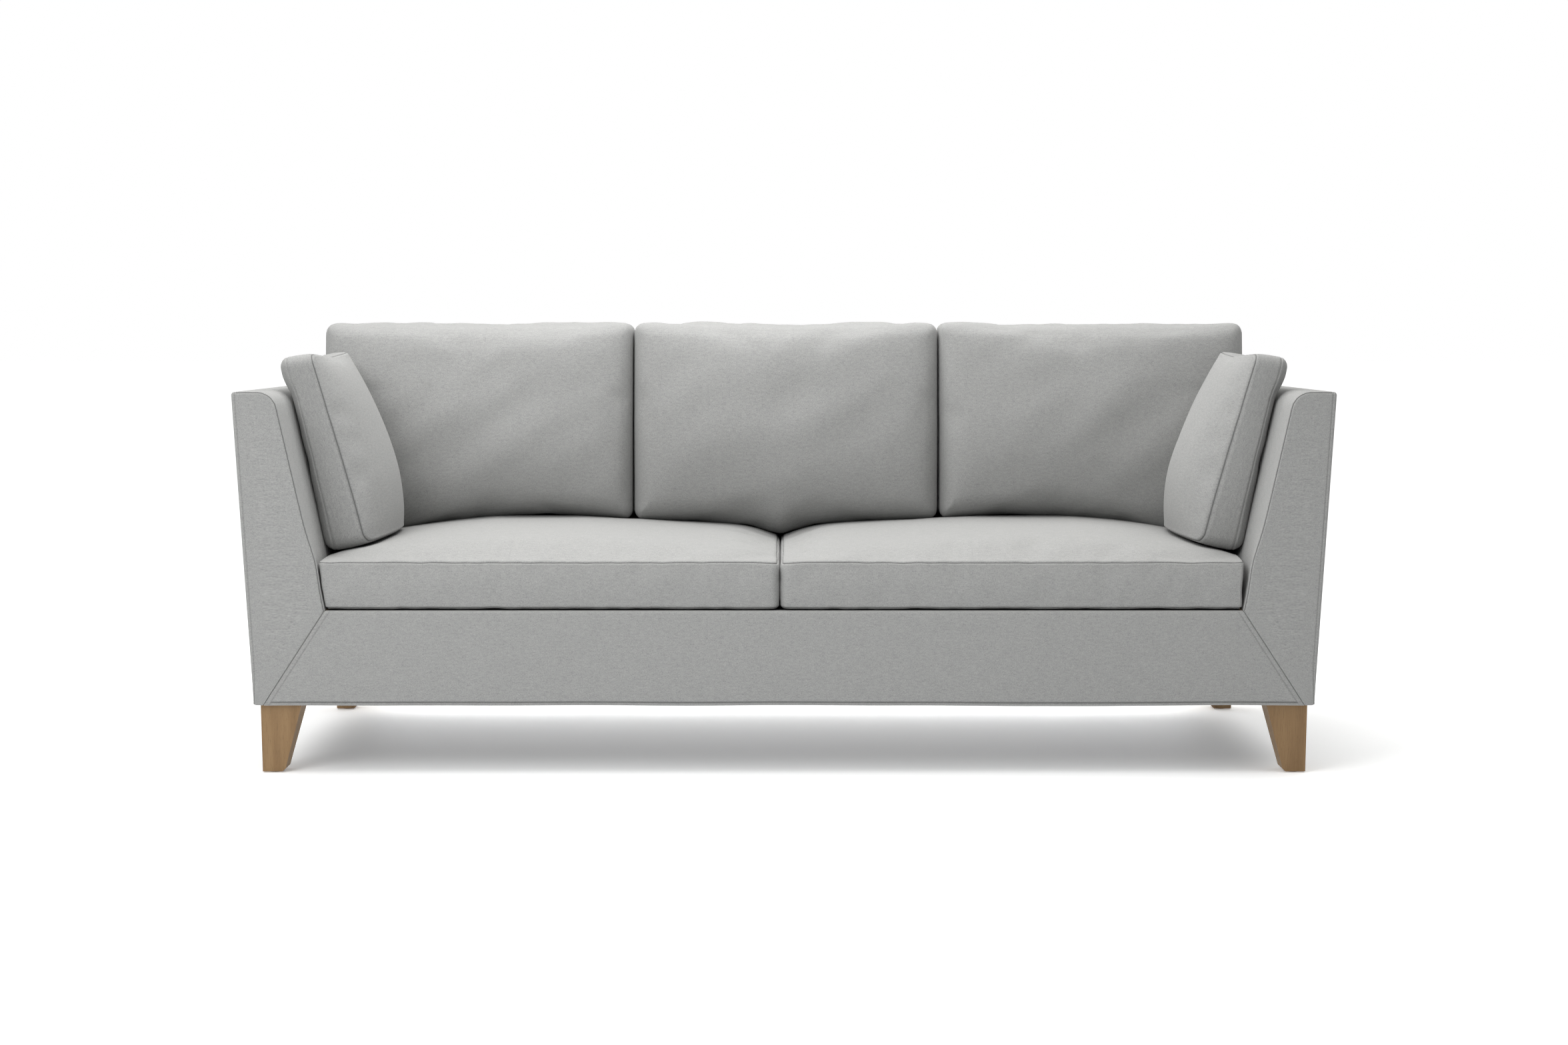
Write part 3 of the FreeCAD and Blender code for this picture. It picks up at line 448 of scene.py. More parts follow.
def seat_cushion(side_name):
    side = SIDES[side_name]
    low, high = seat_boxes[side_name]
    inner, outer = (high.x, low.x) if side < 0 else (low.x, high.x)
    wide = abs(outer - inner)
    half = (wide / 2, (high.y - low.y) / 2, (SEAT_SEAM - SEAT_LOW) / 2)
    seed = 3 + side

    def plan(a, b):
        at_gap = side * a < 0
        return np.where(at_gap & (b < 0), GAP_CORNER, np.where(b < 0, ARM_CORNER, REAR_CORNER))

    def top(points):
        from_gap = half[0] + side * points[:, 0]
        return 0.005 + 0.008 * unit(1 - from_gap / 0.05)

    def shape(rounded):
        a, b, c = rounded.T
        z = SEAT_LOW + MM + (c + half[2]) * (1 - MM / (2 * half[2]))
        y_rear = rest(z) - LOOSE
        y = SEAT_FRONT + part(b, half[1]) * (y_rear - SEAT_FRONT)
        share = (half[0] + side * a) / wide
        narrow = tucked(z) if side < 0 else RIGHT_TUCK * (z - DECK) / (SEAT_SEAM - DECK)
        narrow = narrow * np.exp(-np.maximum(y - SEAT_FRONT, 0) / TUCK_REACH)
        far = side * (well(z) - LOOSE - narrow)
        x = inner + share * (far - inner)
        top_face = unit((c - half[2] + 2 * MM) / (2 * MM))
        from_gap, from_arm = np.maximum(half[0] + side * a, 0), np.maximum(half[0] - side * a, 0)
        crown = seat_crown(from_gap, from_arm, np.maximum(half[1] + b, 0))
        crown = crown * swell_in(np.maximum(half[1] - b, 0), 0.12)
        z = z + top_face * crown * (SEAT_CROWN - SEAT_SEAM)
        border = arch(c, half[2])
        on_front = unit(1 - (b + half[1]) / 0.01)
        y = y - on_front * (4 * MM * border - 2.5 * MM * c / half[2])
        x = x - side * 1.2 * MM * border * unit(1 - from_gap / 0.02)
        return np.column_stack([x, y, z])

    cushion = Cushion(f"seat_cushion_{side_name}_sewn", half, (0.006, 0.015), (plan, top, 0.007),
                      shape)

    def settle(world, local):
        top_face = local[:, 2] > half[2] - MM
        from_edge = np.minimum(half[0] - np.abs(local[:, 0]), half[1] - np.abs(local[:, 1]))
        soft = unit(from_edge / 0.10)
        world[:, 2] += top_face * soft * 1.2 * MM * ripple(world, 4, seed)
        world[:, 2] = np.clip(world[:, 2], DECK + 1.5 * MM, SEAT_CROWN + 2.5 * MM)
        return world

    cushion.simulate(settle, 0.6, 0.012, 0.005)
    return cushion


def lift_clear(world):
    """Holds points clear of the seat cushions' tops."""
    world[:, 2] = np.maximum(world[:, 2], seat_top(world[:, 0], world[:, 1]) + CLEAR)


back_boxes = {name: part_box(f"back_cushion_{name}_cover") for name in ("left", "centre", "right")}
BACK_TOP = back_boxes["centre"][1].z
BACK_THICK_FOOT, BACK_THICK_TOP = 0.146, 0.120
BACK_SWELL = 0.046
OVER_ARM = 7 * MM      # how far the outer back cushions spread above the arms


def back_cushion(name):
    low, high = back_boxes[name]
    half = ((high.x - low.x) / 2, (high.z - low.z) / 2, BACK_THICK_FOOT / 2)
    middle = (high.x + low.x) / 2
    seed = {"left": 11, "centre": 17, "right": 23}[name]

    def front_edge(points):
        return 0.048 - 0.018 * smooth(part(points[:, 1], half[1]) * 1.6)

    def shape(rounded):
        a, b, c = rounded.T
        up = unit(part(b, half[1]))
        foot = seat_top(middle + a, np.full(len(a), 0.15)) + CLEAR
        z = foot + up * (BACK_TOP - foot)
        wall = np.where(z < ARM_TOP, well(z) - LOOSE, 1.0)
        puff = OVER_ARM * smooth((z - ARM_TOP) / 0.05)
        x_low = np.maximum(low.x - np.where(low.x < -0.9, puff, 0), -wall)
        x_high = np.minimum(high.x + np.where(high.x > 0.9, puff, 0), wall)
        x = x_low + part(a, half[0]) * (x_high - x_low)
        depth = part(c, half[2])
        thick = BACK_THICK_FOOT + (BACK_THICK_TOP - BACK_THICK_FOOT) * up
        belly = unit(1 - np.abs((up - 0.42) / np.where(up < 0.42, 0.44, 0.60)) ** 2.1)
        swell = BACK_SWELL * arch(a, half[0]) ** 0.55 * belly * unit(depth) ** 2
        y = rest(z) - LOOSE - depth * thick - swell
        return np.column_stack([x, y, z])

    cushion = Cushion(f"back_cushion_{name}_sewn", half, (0.010, 0.026, 0.046),
                      (0.022, front_edge, 0.010), shape, (False, True))

    def settle(world, local):
        front = unit(local[:, 2] / half[2]) ** 2
        across, tall = arch(local[:, 0], half[0]), arch(local[:, 1], half[1])
        slanted = np.column_stack([world[:, 0] * 0.8 + world[:, 2] * 0.6, world[:, 1] * 0,
                                   (world[:, 2] * 0.8 - world[:, 0] * 0.6) * 2.4])
        world[:, 1] -= front * across * tall * 5 * MM * ripple(world, 4.5, seed)
        world[:, 1] -= front * across * tall ** 0.5 * 3.2 * MM * ripple(slanted, 6, seed + 5)
        world[:, 2] += smooth(local[:, 1] / half[1] * 2 - 1) * 1.6 * MM * ripple(world, 7, seed + 2)
        lift_clear(world)
        world[:, 1] = np.minimum(world[:, 1], rest(world[:, 2]) - LOOSE)
        spare = OVER_ARM * smooth((world[:, 2] - ARM_TOP) / 0.05)
        left_most = low.x - np.where(low.x < -0.9, spare, 0.4 * MM)
        right_most = high.x + np.where(high.x > 0.9, spare, 0.4 * MM)
        world[:, 0] = np.clip(world[:, 0], left_most, right_most)
        return world

    cushion.simulate(settle, 0.8, 0.015, 0.009)
    cushion.steady_sides = True
    return cushion


side_boxes = {name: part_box(f"side_cushion_{name}_cover") for name in SIDES}
SIDE_THICK_FOOT, SIDE_THICK_TOP = 0.079, 0.060
SIDE_BELLY = 0.36
SIDE_HALF_THICK, SIDE_BORDER = 0.033, 0.0155
SIDE_SWELL = 0.060
LEAN = math.atan2(well(ARM_TOP) - well(DECK), ARM_TOP - DECK)


def side_cushion(name):
    side = SIDES[name]
    low, high = side_boxes[name]
    tall_z = high.z - low.z - 0.003
    half = ((high.y - low.y) / 2, tall_z / math.cos(LEAN) / 2, SIDE_HALF_THICK)
    middle = (high.y + low.y) / 2
    seed = 31 + side

    def shape(rounded):
        a, b, c = rounded.T
        up = unit(part(b, half[1]))
        depth = part(c, half[2])
        thick = SIDE_THICK_FOOT + (SIDE_THICK_TOP - SIDE_THICK_FOOT) * up
        tall = arch(up - SIDE_BELLY, np.where(up > SIDE_BELLY, 0.65, 0.48)) ** 0.8
        swell = SIDE_SWELL * arch(a, half[0]) ** 0.6 * tall * unit(depth) ** 3
        inward = depth * thick + swell
        base_z = low.z + up * tall_z
        over_arm = 6 * MM * smooth((base_z - ARM_TOP + 0.02) / 0.05) * (1 - unit(depth))
        x = well(base_z) - 0.5 * MM + over_arm - inward * math.cos(LEAN)
        z = base_z + inward * math.sin(LEAN) * (1 - 0.3 * smooth(up * 2 - 0.5))
        border = unit(4 * depth * (1 - depth))
        end_b = unit((np.abs(b) - half[1] + 0.012) / 0.012) * np.sign(b)
        end_a = unit((np.abs(a) - half[0] + 0.012) / 0.012) * np.sign(a)
        sag = 3.5 * MM * arch(a, half[0]) * smooth(up * 3 - 2)
        z = z + 2 * MM * border * end_b - sag
        y = middle + a + 3.5 * MM * border * end_a
        return np.column_stack([side * x, y, z])

    cushion = Cushion(f"side_cushion_{name}_sewn", half, (0.007, 0.020), (0.021, 0.006, 0.018), shape,
                      (True, False), SIDE_BORDER - half[2])
    cushion.pinned = np.nonzero(np.abs(cushion.coarse[:, 1] - middle) > half[0] - 2 * MM)[0]

    def settle(world, local):
        face = unit(local[:, 2] / half[2])
        inside = arch(local[:, 0], half[0]) * arch(local[:, 1], half[1])
        upright = world * np.array([1, 1, 0.35])
        world[:, 0] -= side * face * inside * 3.5 * MM * ripple(upright, 9, seed)
        lift_clear(world)
        wall = well(world[:, 2]) - 0.5 * MM + 7 * MM * smooth((world[:, 2] - ARM_TOP + 0.02) / 0.05)
        world[:, 0] = side * np.minimum(side * world[:, 0], wall)
        world[:, 1] = np.minimum(world[:, 1], high.y + 2 * MM)
        return world

    cushion.simulate(settle, 0.8, 0.012, 0.006)
    return cushion


# ---- materials

def node_material(name):
    material = bpy.data.materials.new(name)
    material.use_nodes = True
    tree = material.node_tree
    shader = tree.nodes["Principled BSDF"]
    return material, tree, shader


def add(tree, kind, **settings):
    node = tree.nodes.new("ShaderNode" + kind)
    for key, value in settings.items():
        setattr(node, key, value)
    return node


def put(socket, value):
    """Links a socket to another one, or sets its own value."""
    if isinstance(value, bpy.types.NodeSocket):
        socket.id_data.links.new(value, socket)
    else:
        socket.default_value = value


def give(node, **values):
    """Links or sets a node's sockets, whose names have _ for each space."""
    for key, value in values.items():
        put(node.inputs[key.replace("_", " ")], value)


def object_place(tree):
    return add(tree, "TexCoord").outputs["Object"]


def scaled(tree, source, scale):
    """Coordinates from a socket, multiplied along each axis."""
    mapping = add(tree, "Mapping")
    give(mapping, Scale=scale, Vector=source)
    return mapping.outputs["Vector"]


def noise_of(tree, vector, scale, detail=2.0, rough=0.5):
    texture = add(tree, "TexNoise")
    give(texture, Scale=scale, Detail=detail, Roughness=rough, Vector=vector)
    return texture.outputs["Fac"]


def math_node(tree, operation, first, second):
    node = add(tree, "Math", operation=operation)
    put(node.inputs[0], first)
    put(node.inputs[1], second)
    return node.outputs[0]


def times(tree, first, second):
    return math_node(tree, "MULTIPLY", first, second)


def plus(tree, first, second):
    return math_node(tree, "ADD", first, second)


def ramp(tree, factor, stops):
    """A colour ramp through (position, colour) stops."""
    node = add(tree, "ValToRGB")
    elements = node.color_ramp.elements
    for element, (position, colour) in zip(elements, (stops[0], stops[-1])):
        element.position, element.color = position, (*colour, 1)
    for position, colour in stops[1:-1]:
        elements.new(position).color = (*colour, 1)
    give(node, Fac=factor)
    return node.outputs["Color"]


def mixed(tree, factor, first, second):
    """A colour from the first, a socket, towards the second, three numbers."""
    node = add(tree, "Mix", data_type="RGBA")
    for number, value in ((0, factor), (6, first), (7, (*second, 1))):
        put(node.inputs[number], value)
    return node.outputs[2]


def threads(tree, cloth, **values):
    """Two crossing sets of bands, one for each direction of a weave."""
    for direction in ("X", "Y"):
        wave = add(tree, "TexWave", wave_type="BANDS", bands_direction=direction)
        give(wave, Vector=cloth, **values)
        yield wave.outputs["Fac"]


def bump(tree, shader, height, strength, distance):
    node = add(tree, "Bump")
    give(node, Strength=strength, Distance=distance, Height=height)
    give(shader, Normal=node.outputs["Normal"])


def upholstery():
    """Light grey heathered plain weave: flecks along both threads, fine yarn relief, and painted shade
    darkening the grooves of the sewn seams.
    """
    material, tree, shader = node_material("upholstery")
    cloth = add(tree, "UVMap", uv_map="cloth").outputs["UV"]
    weft = noise_of(tree, scaled(tree, cloth, (330, 760, 1)), 1.0, 2.0, 0.6)
    warp = noise_of(tree, scaled(tree, cloth, (760, 380, 1)), 1.0, 2.0, 0.6)
    slubs = noise_of(tree, scaled(tree, cloth, (95, 240, 1)), 1.0, 2.0, 0.5)
    cloudy = noise_of(tree, scaled(tree, cloth, (28, 42, 1)), 1.0, 2.0, 0.5)
    shade = times(tree, weft, 0.42)
    for grain, weight in ((warp, 0.32), (slubs, 0.20), (cloudy, 0.06)):
        shade = plus(tree, shade, times(tree, grain, weight))
    colour = ramp(tree, shade, [
        (0.34, (0.250, 0.253, 0.250)),
        (0.455, (0.335, 0.337, 0.332)),
        (0.545, (0.392, 0.392, 0.385)),
        (0.66, (0.470, 0.467, 0.455)),
    ])
    # painted shade: the grooves of the sewn seams darkened towards near black
    seam_shade = add(tree, "Attribute", attribute_name="seam_shade").outputs["Fac"]
    colour = mixed(tree, times(tree, seam_shade, 0.9), colour, (0.075, 0.076, 0.075))
    yarns = [times(tree, yarn, 0.5)
             for yarn in threads(tree, cloth, Scale=240, Distortion=1.5, Detail_Scale=2)]
    relief = plus(tree, plus(tree, *yarns), shade)
    bump(tree, shader, relief, 0.30, 0.0004)
    give(shader, Base_Color=colour, Roughness=0.92, Specular_IOR_Level=0.2, Sheen_Weight=0.12,
         Sheen_Roughness=0.5)
    return material


def wood(name, dark, middle, light, roughness, along, ring=14.0):
    """Timber with grain along one axis: long streaks, fine pores and slow bands."""
    material, tree, shader = node_material(name)
    place = object_place(tree)
    stretch = [1.0, 1.0, 1.0]
    stretch["XYZ".index(along)] = 0.06
    grain = scaled(tree, place, tuple(value * 60 for value in stretch))
    pores = scaled(tree, place, tuple(value * 900 if value == 1 else 40 for value in stretch))
    streaks = noise_of(tree, grain, 1.0, 4.0, 0.6)
    bands = noise_of(tree, scaled(tree, place, tuple(value * ring for value in stretch)), 1.0, 2.0, 0.5)
    pits = noise_of(tree, pores, 1.0, 2.0, 0.7)
    blend = plus(tree, times(tree, streaks, 0.6), times(tree, bands, 0.4))
    colour = ramp(tree, blend, [(0.32, dark), (0.5, middle), (0.68, light)])
    holes = math_node(tree, "GREATER_THAN", pits, 0.60)
    pit_colour = tuple(value * 0.55 for value in dark)
    colour = mixed(tree, times(tree, holes, 0.35), colour, pit_colour)
    rough = plus(tree, times(tree, streaks, 0.2), roughness - 0.1)
    give(shader, Base_Color=colour, Roughness=rough)
    height = math_node(tree, "SUBTRACT", streaks, times(tree, holes, 0.5))
    bump(tree, shader, height, 0.25, 0.0004)
    return material


def fibre(name, dark, light, scale, strength=0.5):
    """Foam, wadding, felt or unwoven cloth: mottled, open and matt."""
    material, tree, shader = node_material(name)
    place = object_place(tree)
    cells = add(tree, "TexVoronoi")
    give(cells, Scale=scale, Vector=place)
    clouds = noise_of(tree, place, scale / 25, 3.0)
    blend = plus(tree, times(tree, cells.outputs["Distance"], 0.6), times(tree, clouds, 0.5))
    bump(tree, shader, cells.outputs["Distance"], strength, 0.001)
    give(shader, Base_Color=ramp(tree, blend, [(0.2, dark), (0.75, light)]), Roughness=0.95)
    return material


def woven_band(name, dark, light, pitch):
    """Coarse flat weave, as on webbing and deck cloth."""
    material, tree, shader = node_material(name)
    place = add(tree, "UVMap", uv_map="cloth").outputs["UV"]
    height = times(tree, *threads(tree, place, Scale=math.pi / (10 * pitch), Distortion=0.6))
    bump(tree, shader, height, 0.5, 0.0006)
    give(shader, Base_Color=ramp(tree, height, [(0.1, dark), (0.8, light)]), Roughness=0.85)
    return material


def metal(name, dark, light, roughness):
    """Drawn or plated steel: fine scratches and dull patches."""
    material, tree, shader = node_material(name)
    place = object_place(tree)
    patches = noise_of(tree, place, 90, 4.0, 0.6)
    scratches = noise_of(tree, scaled(tree, place, (40, 900, 900)), 1.0, 2.0)
    rough = plus(tree, times(tree, scratches, 0.3), roughness - 0.15)
    give(shader, Base_Color=ramp(tree, patches, [(0.3, dark), (0.7, light)]), Roughness=rough,
         Metallic=1.0)
    bump(tree, shader, scratches, 0.1, 0.0002)
    return material


def plastic(name, dark, light):
    material, tree, shader = node_material(name)
    place = object_place(tree)
    speckle = noise_of(tree, place, 700, 3.0)
    bump(tree, shader, speckle, 0.15, 0.0003)
    give(shader, Base_Color=ramp(tree, speckle, [(0.3, dark), (0.7, light)]), Roughness=0.5)
    return material


FABRIC = upholstery()
LEG_OAK = wood("leg_oak", (0.225, 0.129, 0.054), (0.300, 0.181, 0.081), (0.360, 0.227, 0.108),
               0.5, "Z", 22.0)
PINE_DARK, PINE, PINE_LIGHT = (0.42, 0.28, 0.15), (0.55, 0.39, 0.23), (0.66, 0.50, 0.32)
TIMBER = wood("frame_softwood", PINE_DARK, (0.56, 0.40, 0.24), PINE_LIGHT, 0.65, "X")
TIMBER_DEEP = wood("frame_softwood_deep", PINE_DARK, PINE, PINE_LIGHT, 0.65, "Y")
TIMBER_TALL = wood("frame_softwood_tall", PINE_DARK, PINE, PINE_LIGHT, 0.65, "Z")
BOARD = wood("frame_plywood", (0.36, 0.24, 0.14), (0.50, 0.36, 0.22), (0.58, 0.43, 0.28),
             0.7, "Z", 30.0)
FOAM = fibre("cut_foam", (0.62, 0.56, 0.36), (0.82, 0.77, 0.55), 420)
WADDING = fibre("wadding", (0.66, 0.66, 0.64), (0.88, 0.88, 0.86), 300)
DUST = fibre("dust_cloth", (0.010, 0.010, 0.011), (0.030, 0.030, 0.032), 500, 0.2)
DECK_CLOTH = woven_band("deck_cloth", (0.055, 0.056, 0.058), (0.12, 0.12, 0.12), 0.0022)
BAND = woven_band("elastic_band", (0.10, 0.065, 0.035), (0.26, 0.18, 0.10), 0.004)
SPRING = metal("spring_wire", (0.18, 0.18, 0.19), (0.34, 0.34, 0.35), 0.4)
ZINC = metal("zinc_plate", (0.50, 0.50, 0.49), (0.72, 0.71, 0.69), 0.35)
GLIDE = plastic("glide", (0.020, 0.018, 0.016), (0.045, 0.040, 0.036))


# ---- fixed upholstery

EDGE_STRIP = 0.03      # cloth this close to a cover's edge keeps its true width


def arm_cover(side_name, inset=0.0, name=None, material=None, nodes=()):
    """The cloth over an arm: flared faces, a soft inner top edge, stitching round the front panel with
    painted shade in its groove.
    """
    side = SIDES[side_name]
    top_wide = flank(ARM_TOP) - well(ARM_TOP)
    half = (top_wide / 2, (ARM_TOP - HEM) / 2, (ARM_REAR - FRONT) / 2)
    soft_inner, soft_outer, soft_foot, margin = 0.030, 0.007, 0.011, 0.034
    panel_edge, welt_edge, mitre_edge = 0.0045, 0.0065, 0.0030
    turned_in, welt_in = 0.025, 0.0075
    deck_b = DECK - HEM - half[1]

    def plan(a, b):
        outer = np.where(b > 0, soft_outer, soft_foot)
        return np.where(a < 0, np.where(b > 0, soft_inner, 0.004), outer)

    def on_mitre(points):
        return (points[:, 0] < -half[0] + 0.02) & (points[:, 1] < deck_b)

    def front_radius(points):
        outer = points[:, 0] > half[0] - 0.02
        return np.where(on_mitre(points), mitre_edge, np.where(outer, welt_edge, panel_edge))

    # how strongly each front edge is sewn: the depth of its groove and of the painted shade in it
    def front_seam(points):
        above_foot = np.where(points[:, 1] < -half[1] + 0.02, 0, 1.1)
        return np.where(on_mitre(points), 0.12, (points[:, 0] < half[0] - 0.010) * above_foot)

    def keep(face, middle):
        if face == "b-":
            return False
        if face == "c-":
            return middle[0] > half[0] - turned_in or middle[1] > half[1] - turned_in
        return not (face == "a-" and middle[1] < deck_b and middle[2] < half[2] - 0.012)

    rims = SEAM_MARKS + [mark for radius in (soft_inner, panel_edge, mitre_edge)
                         for mark in round_marks(radius)]
    outer_rims = [mark for radius in (soft_outer, soft_foot, welt_edge) for mark in round_marks(radius)]
    outer_rims += SEAM_MARKS + [welt_in, 0.0087, 0.0103, 0.0125]
    a = ruled(half[0], 0.010, rims, outer_rims)
    b = ruled(half[1], 0.016, outer_rims, rims + outer_rims, (deck_b - MM, deck_b, deck_b + MM))
    c = ruled(half[2], 0.020, round_marks(0.004), rims + outer_rims)
    local, quads, cloth = box_skin(a, b, c, keep)
    # the welt stitch: a shallow groove with light painted shade in it
    welt = () if inset else ((0, half[0] - welt_in, 0.15, 1.1 * MM),)
    rounded, seam_shade = soften(local, half, plan, front_radius, 0.004, not inset and front_seam,
                           False, welt)
    a, b, c = rounded.T
    z = HEM + half[1] + b
    near_front = unit(1 - (half[2] - c) / 0.08) ** 2
    inner = np.where(z > DECK, well(z) - tucked(z) * near_front, mitre(z)) + inset
    outer = flank(z) - inset
    wide = outer - inner
    edge_wide = np.minimum(margin, 0.45 * wide)
    t = a + half[0]
    middle_share = (t - margin) / (top_wide - 2 * margin)
    x = np.where(t < margin, inner + t / margin * edge_wide,
                 np.where(t > top_wide - margin, outer - (top_wide - t) / margin * edge_wide,
                          inner + edge_wide + middle_share * (wide - 2 * edge_wide)))
    z = np.where(z > ARM_TOP - 0.1, z - inset * (z - ARM_TOP + 0.1) / 0.1, z)
    y = ARM_REAR - half[2] - c + inset * unit((c - half[2] + 0.05) / 0.05)
    world = np.column_stack([side * x, y, z])
    padded = unit(c / half[2]) ** 40 * arch(a, half[0])
    world[:, 1] -= padded * 1.5 * MM * (0.6 + 0.4 * ripple(world, 5, 51 + side))
    piece = make_piece(name or f"{side_name}_arm_upholstery", world, quads, cloth, seam_shade,
                       material or FABRIC, "frame", "padding" if inset else "upholstery_fabric",
                       *(nodes or (f"{side_name}_arm_cover",)))
    thicken(piece, 0.010 if inset else CLOTH_THICK)
    return piece


def front_rail():
    """The padded panel under the seat, between mitred seams, with a hem along its foot."""
    half = (mitre(HEM), (DECK - HEM) / 2, 0.0075)
    stitch_in, hem_up = 0.0108, 0.0068

    def edge_radius(points):
        from_side = half[0] - np.abs(points[:, 0])
        from_top = half[1] - points[:, 1]
        from_foot = half[1] + points[:, 1]
        radius = np.where(from_top < 0.02, 0.0060, np.where(from_foot < 0.02, 0.0050, 0.0030))
        return np.where(from_side < np.minimum(from_top, from_foot), 0.0030, radius)

    # the mitred sides: faint grooves with faint painted shade in them
    def at_sides(points):
        return np.where(half[0] - np.abs(points[:, 0]) < 0.012, 0.12, 0)

    hem_marks = [hem_up + shift for shift in BELT[1:-1]]
    stitch_marks = [stitch_in + shift for shift in BELT]
    sides = SEAM_MARKS + round_marks(0.003) + stitch_marks
    a = ruled(half[0], 0.020, sides, sides)
    b = ruled(half[1], 0.012, hem_marks + round_marks(0.005), round_marks(0.006))
    c = ruled(half[2], 0.006, (0.0,), round_marks(0.006) + SEAM_MARKS)
    local, quads, cloth = box_skin(a, b, c)
    # the third number of each stitch is how dark the painted shade in its groove is
    stitches = [(0, end * (half[0] - stitch_in), 0.3, 0.7 * MM) for end in (1, -1)]
    stitches.append((1, hem_up - half[1], 0.8, 1.4 * MM))
    rounded, seam_shade = soften(local, half, 0.002, edge_radius, 0.001, at_sides, False, stitches)
    in_mitre = np.abs(local[:, 0]) > half[0] - stitch_in + 0.3 * MM
    hem_line = np.abs(local[:, 1] - hem_up + half[1]) < 0.004
    # no painted shade where the hem's line runs into the mitres
    seam_shade = np.where(in_mitre & hem_line, 0, seam_shade)
    a, b, c = rounded.T
    z = HEM + half[1] + b
    from_edge = half[0] - np.abs(a)
    far = mitre(z)
    x = np.sign(a) * np.where(from_edge < EDGE_STRIP, far - from_edge,
                              np.abs(a) / (half[0] - EDGE_STRIP) * (far - EDGE_STRIP))
    y = FRONT + half[2] - c
    world = np.column_stack([x, y, z])
    swelling = arch(b, half[1]) * unit(c / half[2]) * unit((from_edge - stitch_in) / 0.05)
    world[:, 1] -= swelling * 2.0 * MM * (0.7 + 0.4 * ripple(world, 4, 41))
    at_foot = unit(1 - (b + half[1]) / 0.03)
    world[:, 2] -= at_foot * 1.2 * MM * ripple(world * np.array([1, 0, 0]), 4, 43)
    return make_piece("front_rail_upholstery", world, quads, cloth, seam_shade, FABRIC, "frame",
                      "upholstery_fabric", "front_rail_cover", "front_rail_padding")


def back_cover():
    """The cloth over the back, with two joining seams and sewn edges on its rear face."""
    half = (1.0, (ARM_TOP - HEM) / 2, 0.06)
    lines = [-0.36, 0.36]
    around = [value + shift for value in lines for shift in BELT[1:-1]]
    inner_share = 0.90
    around += [end * share for end in (-1, 1) for share in (inner_share, inner_share + 0.002)]
    deck_b = DECK - HEM - half[1]
    edge = sorted(set(round_marks(0.012) + SEAM_MARKS))
    a = ruled(half[0], 0.030, edge, edge, around)
    b = ruled(half[1], 0.020, (0.0, 0.005), edge, (deck_b,))
    c = ruled(half[2], 0.020, round_marks(0.012), edge)

    def keep(face, middle):
        if face == "b-":
            return False
        return not (face == "c-" and middle[1] < deck_b and abs(middle[0]) < inner_share)

    local, quads, cloth = box_skin(a, b, c, keep)
    # the third number is how dark the painted shade is in the grooves of the two joining seams
    stitches = [(0, value, 0.8, GROOVE_DEEP) for value in lines]
    rounded, seam_shade = soften(local, half, 0.012, 0.010, 0.012, True, False, stitches)
    a, b, c = rounded.T
    z = HEM + half[1] + b
    share = np.abs(a)
    deep = part(c, half[2])
    well_wide = np.minimum(well(np.maximum(z, DECK)) - 0.002, flank(z) - 0.02)
    well_wide = well_wide + (inner_share * flank(z) - well_wide) * smooth(2 * deep - 1)
    edge_from = half[0] - share
    x_inner = share / inner_share * well_wide
    middle = (share - inner_share) / (1 - inner_share - EDGE_STRIP)
    x_middle = well_wide + middle * (flank(z) - EDGE_STRIP - well_wide)
    x = np.where(share <= inner_share, x_inner,
                 np.where(edge_from < EDGE_STRIP, flank(z) - edge_from, x_middle))
    front_y = np.where(share <= inner_share + 0.0005, rest(np.maximum(z, DECK)), ARM_REAR)
    back_y = rear(z)
    from_rear = half[2] - c
    y = np.where(from_rear < EDGE_STRIP, back_y - from_rear, front_y
                 + (back_y - EDGE_STRIP - front_y) * deep / (1 - EDGE_STRIP / (2 * half[2])))
    world = np.column_stack([np.sign(a) * x, y, z])
    piece = make_piece("back_upholstery", world, quads, cloth, seam_shade, FABRIC, "frame",
                       "upholstery_fabric", "back_cover")
    thicken(piece, CLOTH_THICK)


# ---- inner soft pieces

def block_piece(name, low, high, radius, step, material, body, slot, *nodes, warp=None):
    """A rounded slab between two corners, optionally warped."""
    low, high = np.array(low, float), np.array(high, float)
    half = (high - low) / 2
    marks = round_marks(radius)
    a, b, c = (ruled(value, step, marks, marks) for value in half)
    local, quads, cloth = box_skin(a, b, c)
    rounded, seam_shade = soften(local, half, radius, radius, radius, False, False)
    world = rounded + (low + high) / 2
    if warp is not None:
        world = warp(world)
    return make_piece(name, world, quads, cloth, seam_shade, material, body, slot, *nodes)


def foam_cores():
    def core(cushion, low, high, step, fill, warp=None):
        foam = block_piece(f"{cushion}_foam", low, high, 0.004, step, FOAM, cushion, "foam",
                           f"{cushion}_core", warp=warp)

    for side in SIDES:
        core(f"seat_cushion_{side}", *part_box(f"seat_cushion_{side}_core"), 0.06, 1.0)
    for name in back_boxes:
        low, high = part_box(f"back_cushion_{name}_core")
        run = rest(high.z) - rest(low.z)

        def lean_back(points):
            points[:, 1] += run * ((points[:, 2] - low.z) / (high.z - low.z) - 1)
            return points

        core(f"back_cushion_{name}", (low.x, low.y + run, low.z), high, 0.05, 0.9, lean_back)
    for name, side in SIDES.items():
        low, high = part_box(f"side_cushion_{name}_core")
        run = well(high.z) - well(low.z)
        wide = high.x - low.x - run

        def lean_out(points):
            points[:, 0] += side * run * ((points[:, 2] - low.z) / (high.z - low.z))
            return points

        start = low.x if side > 0 else high.x - wide
        core(f"side_cushion_{name}", (start, low.y, low.z), (start + wide, high.y, high.z), 0.05, 0.9,
             lean_out)


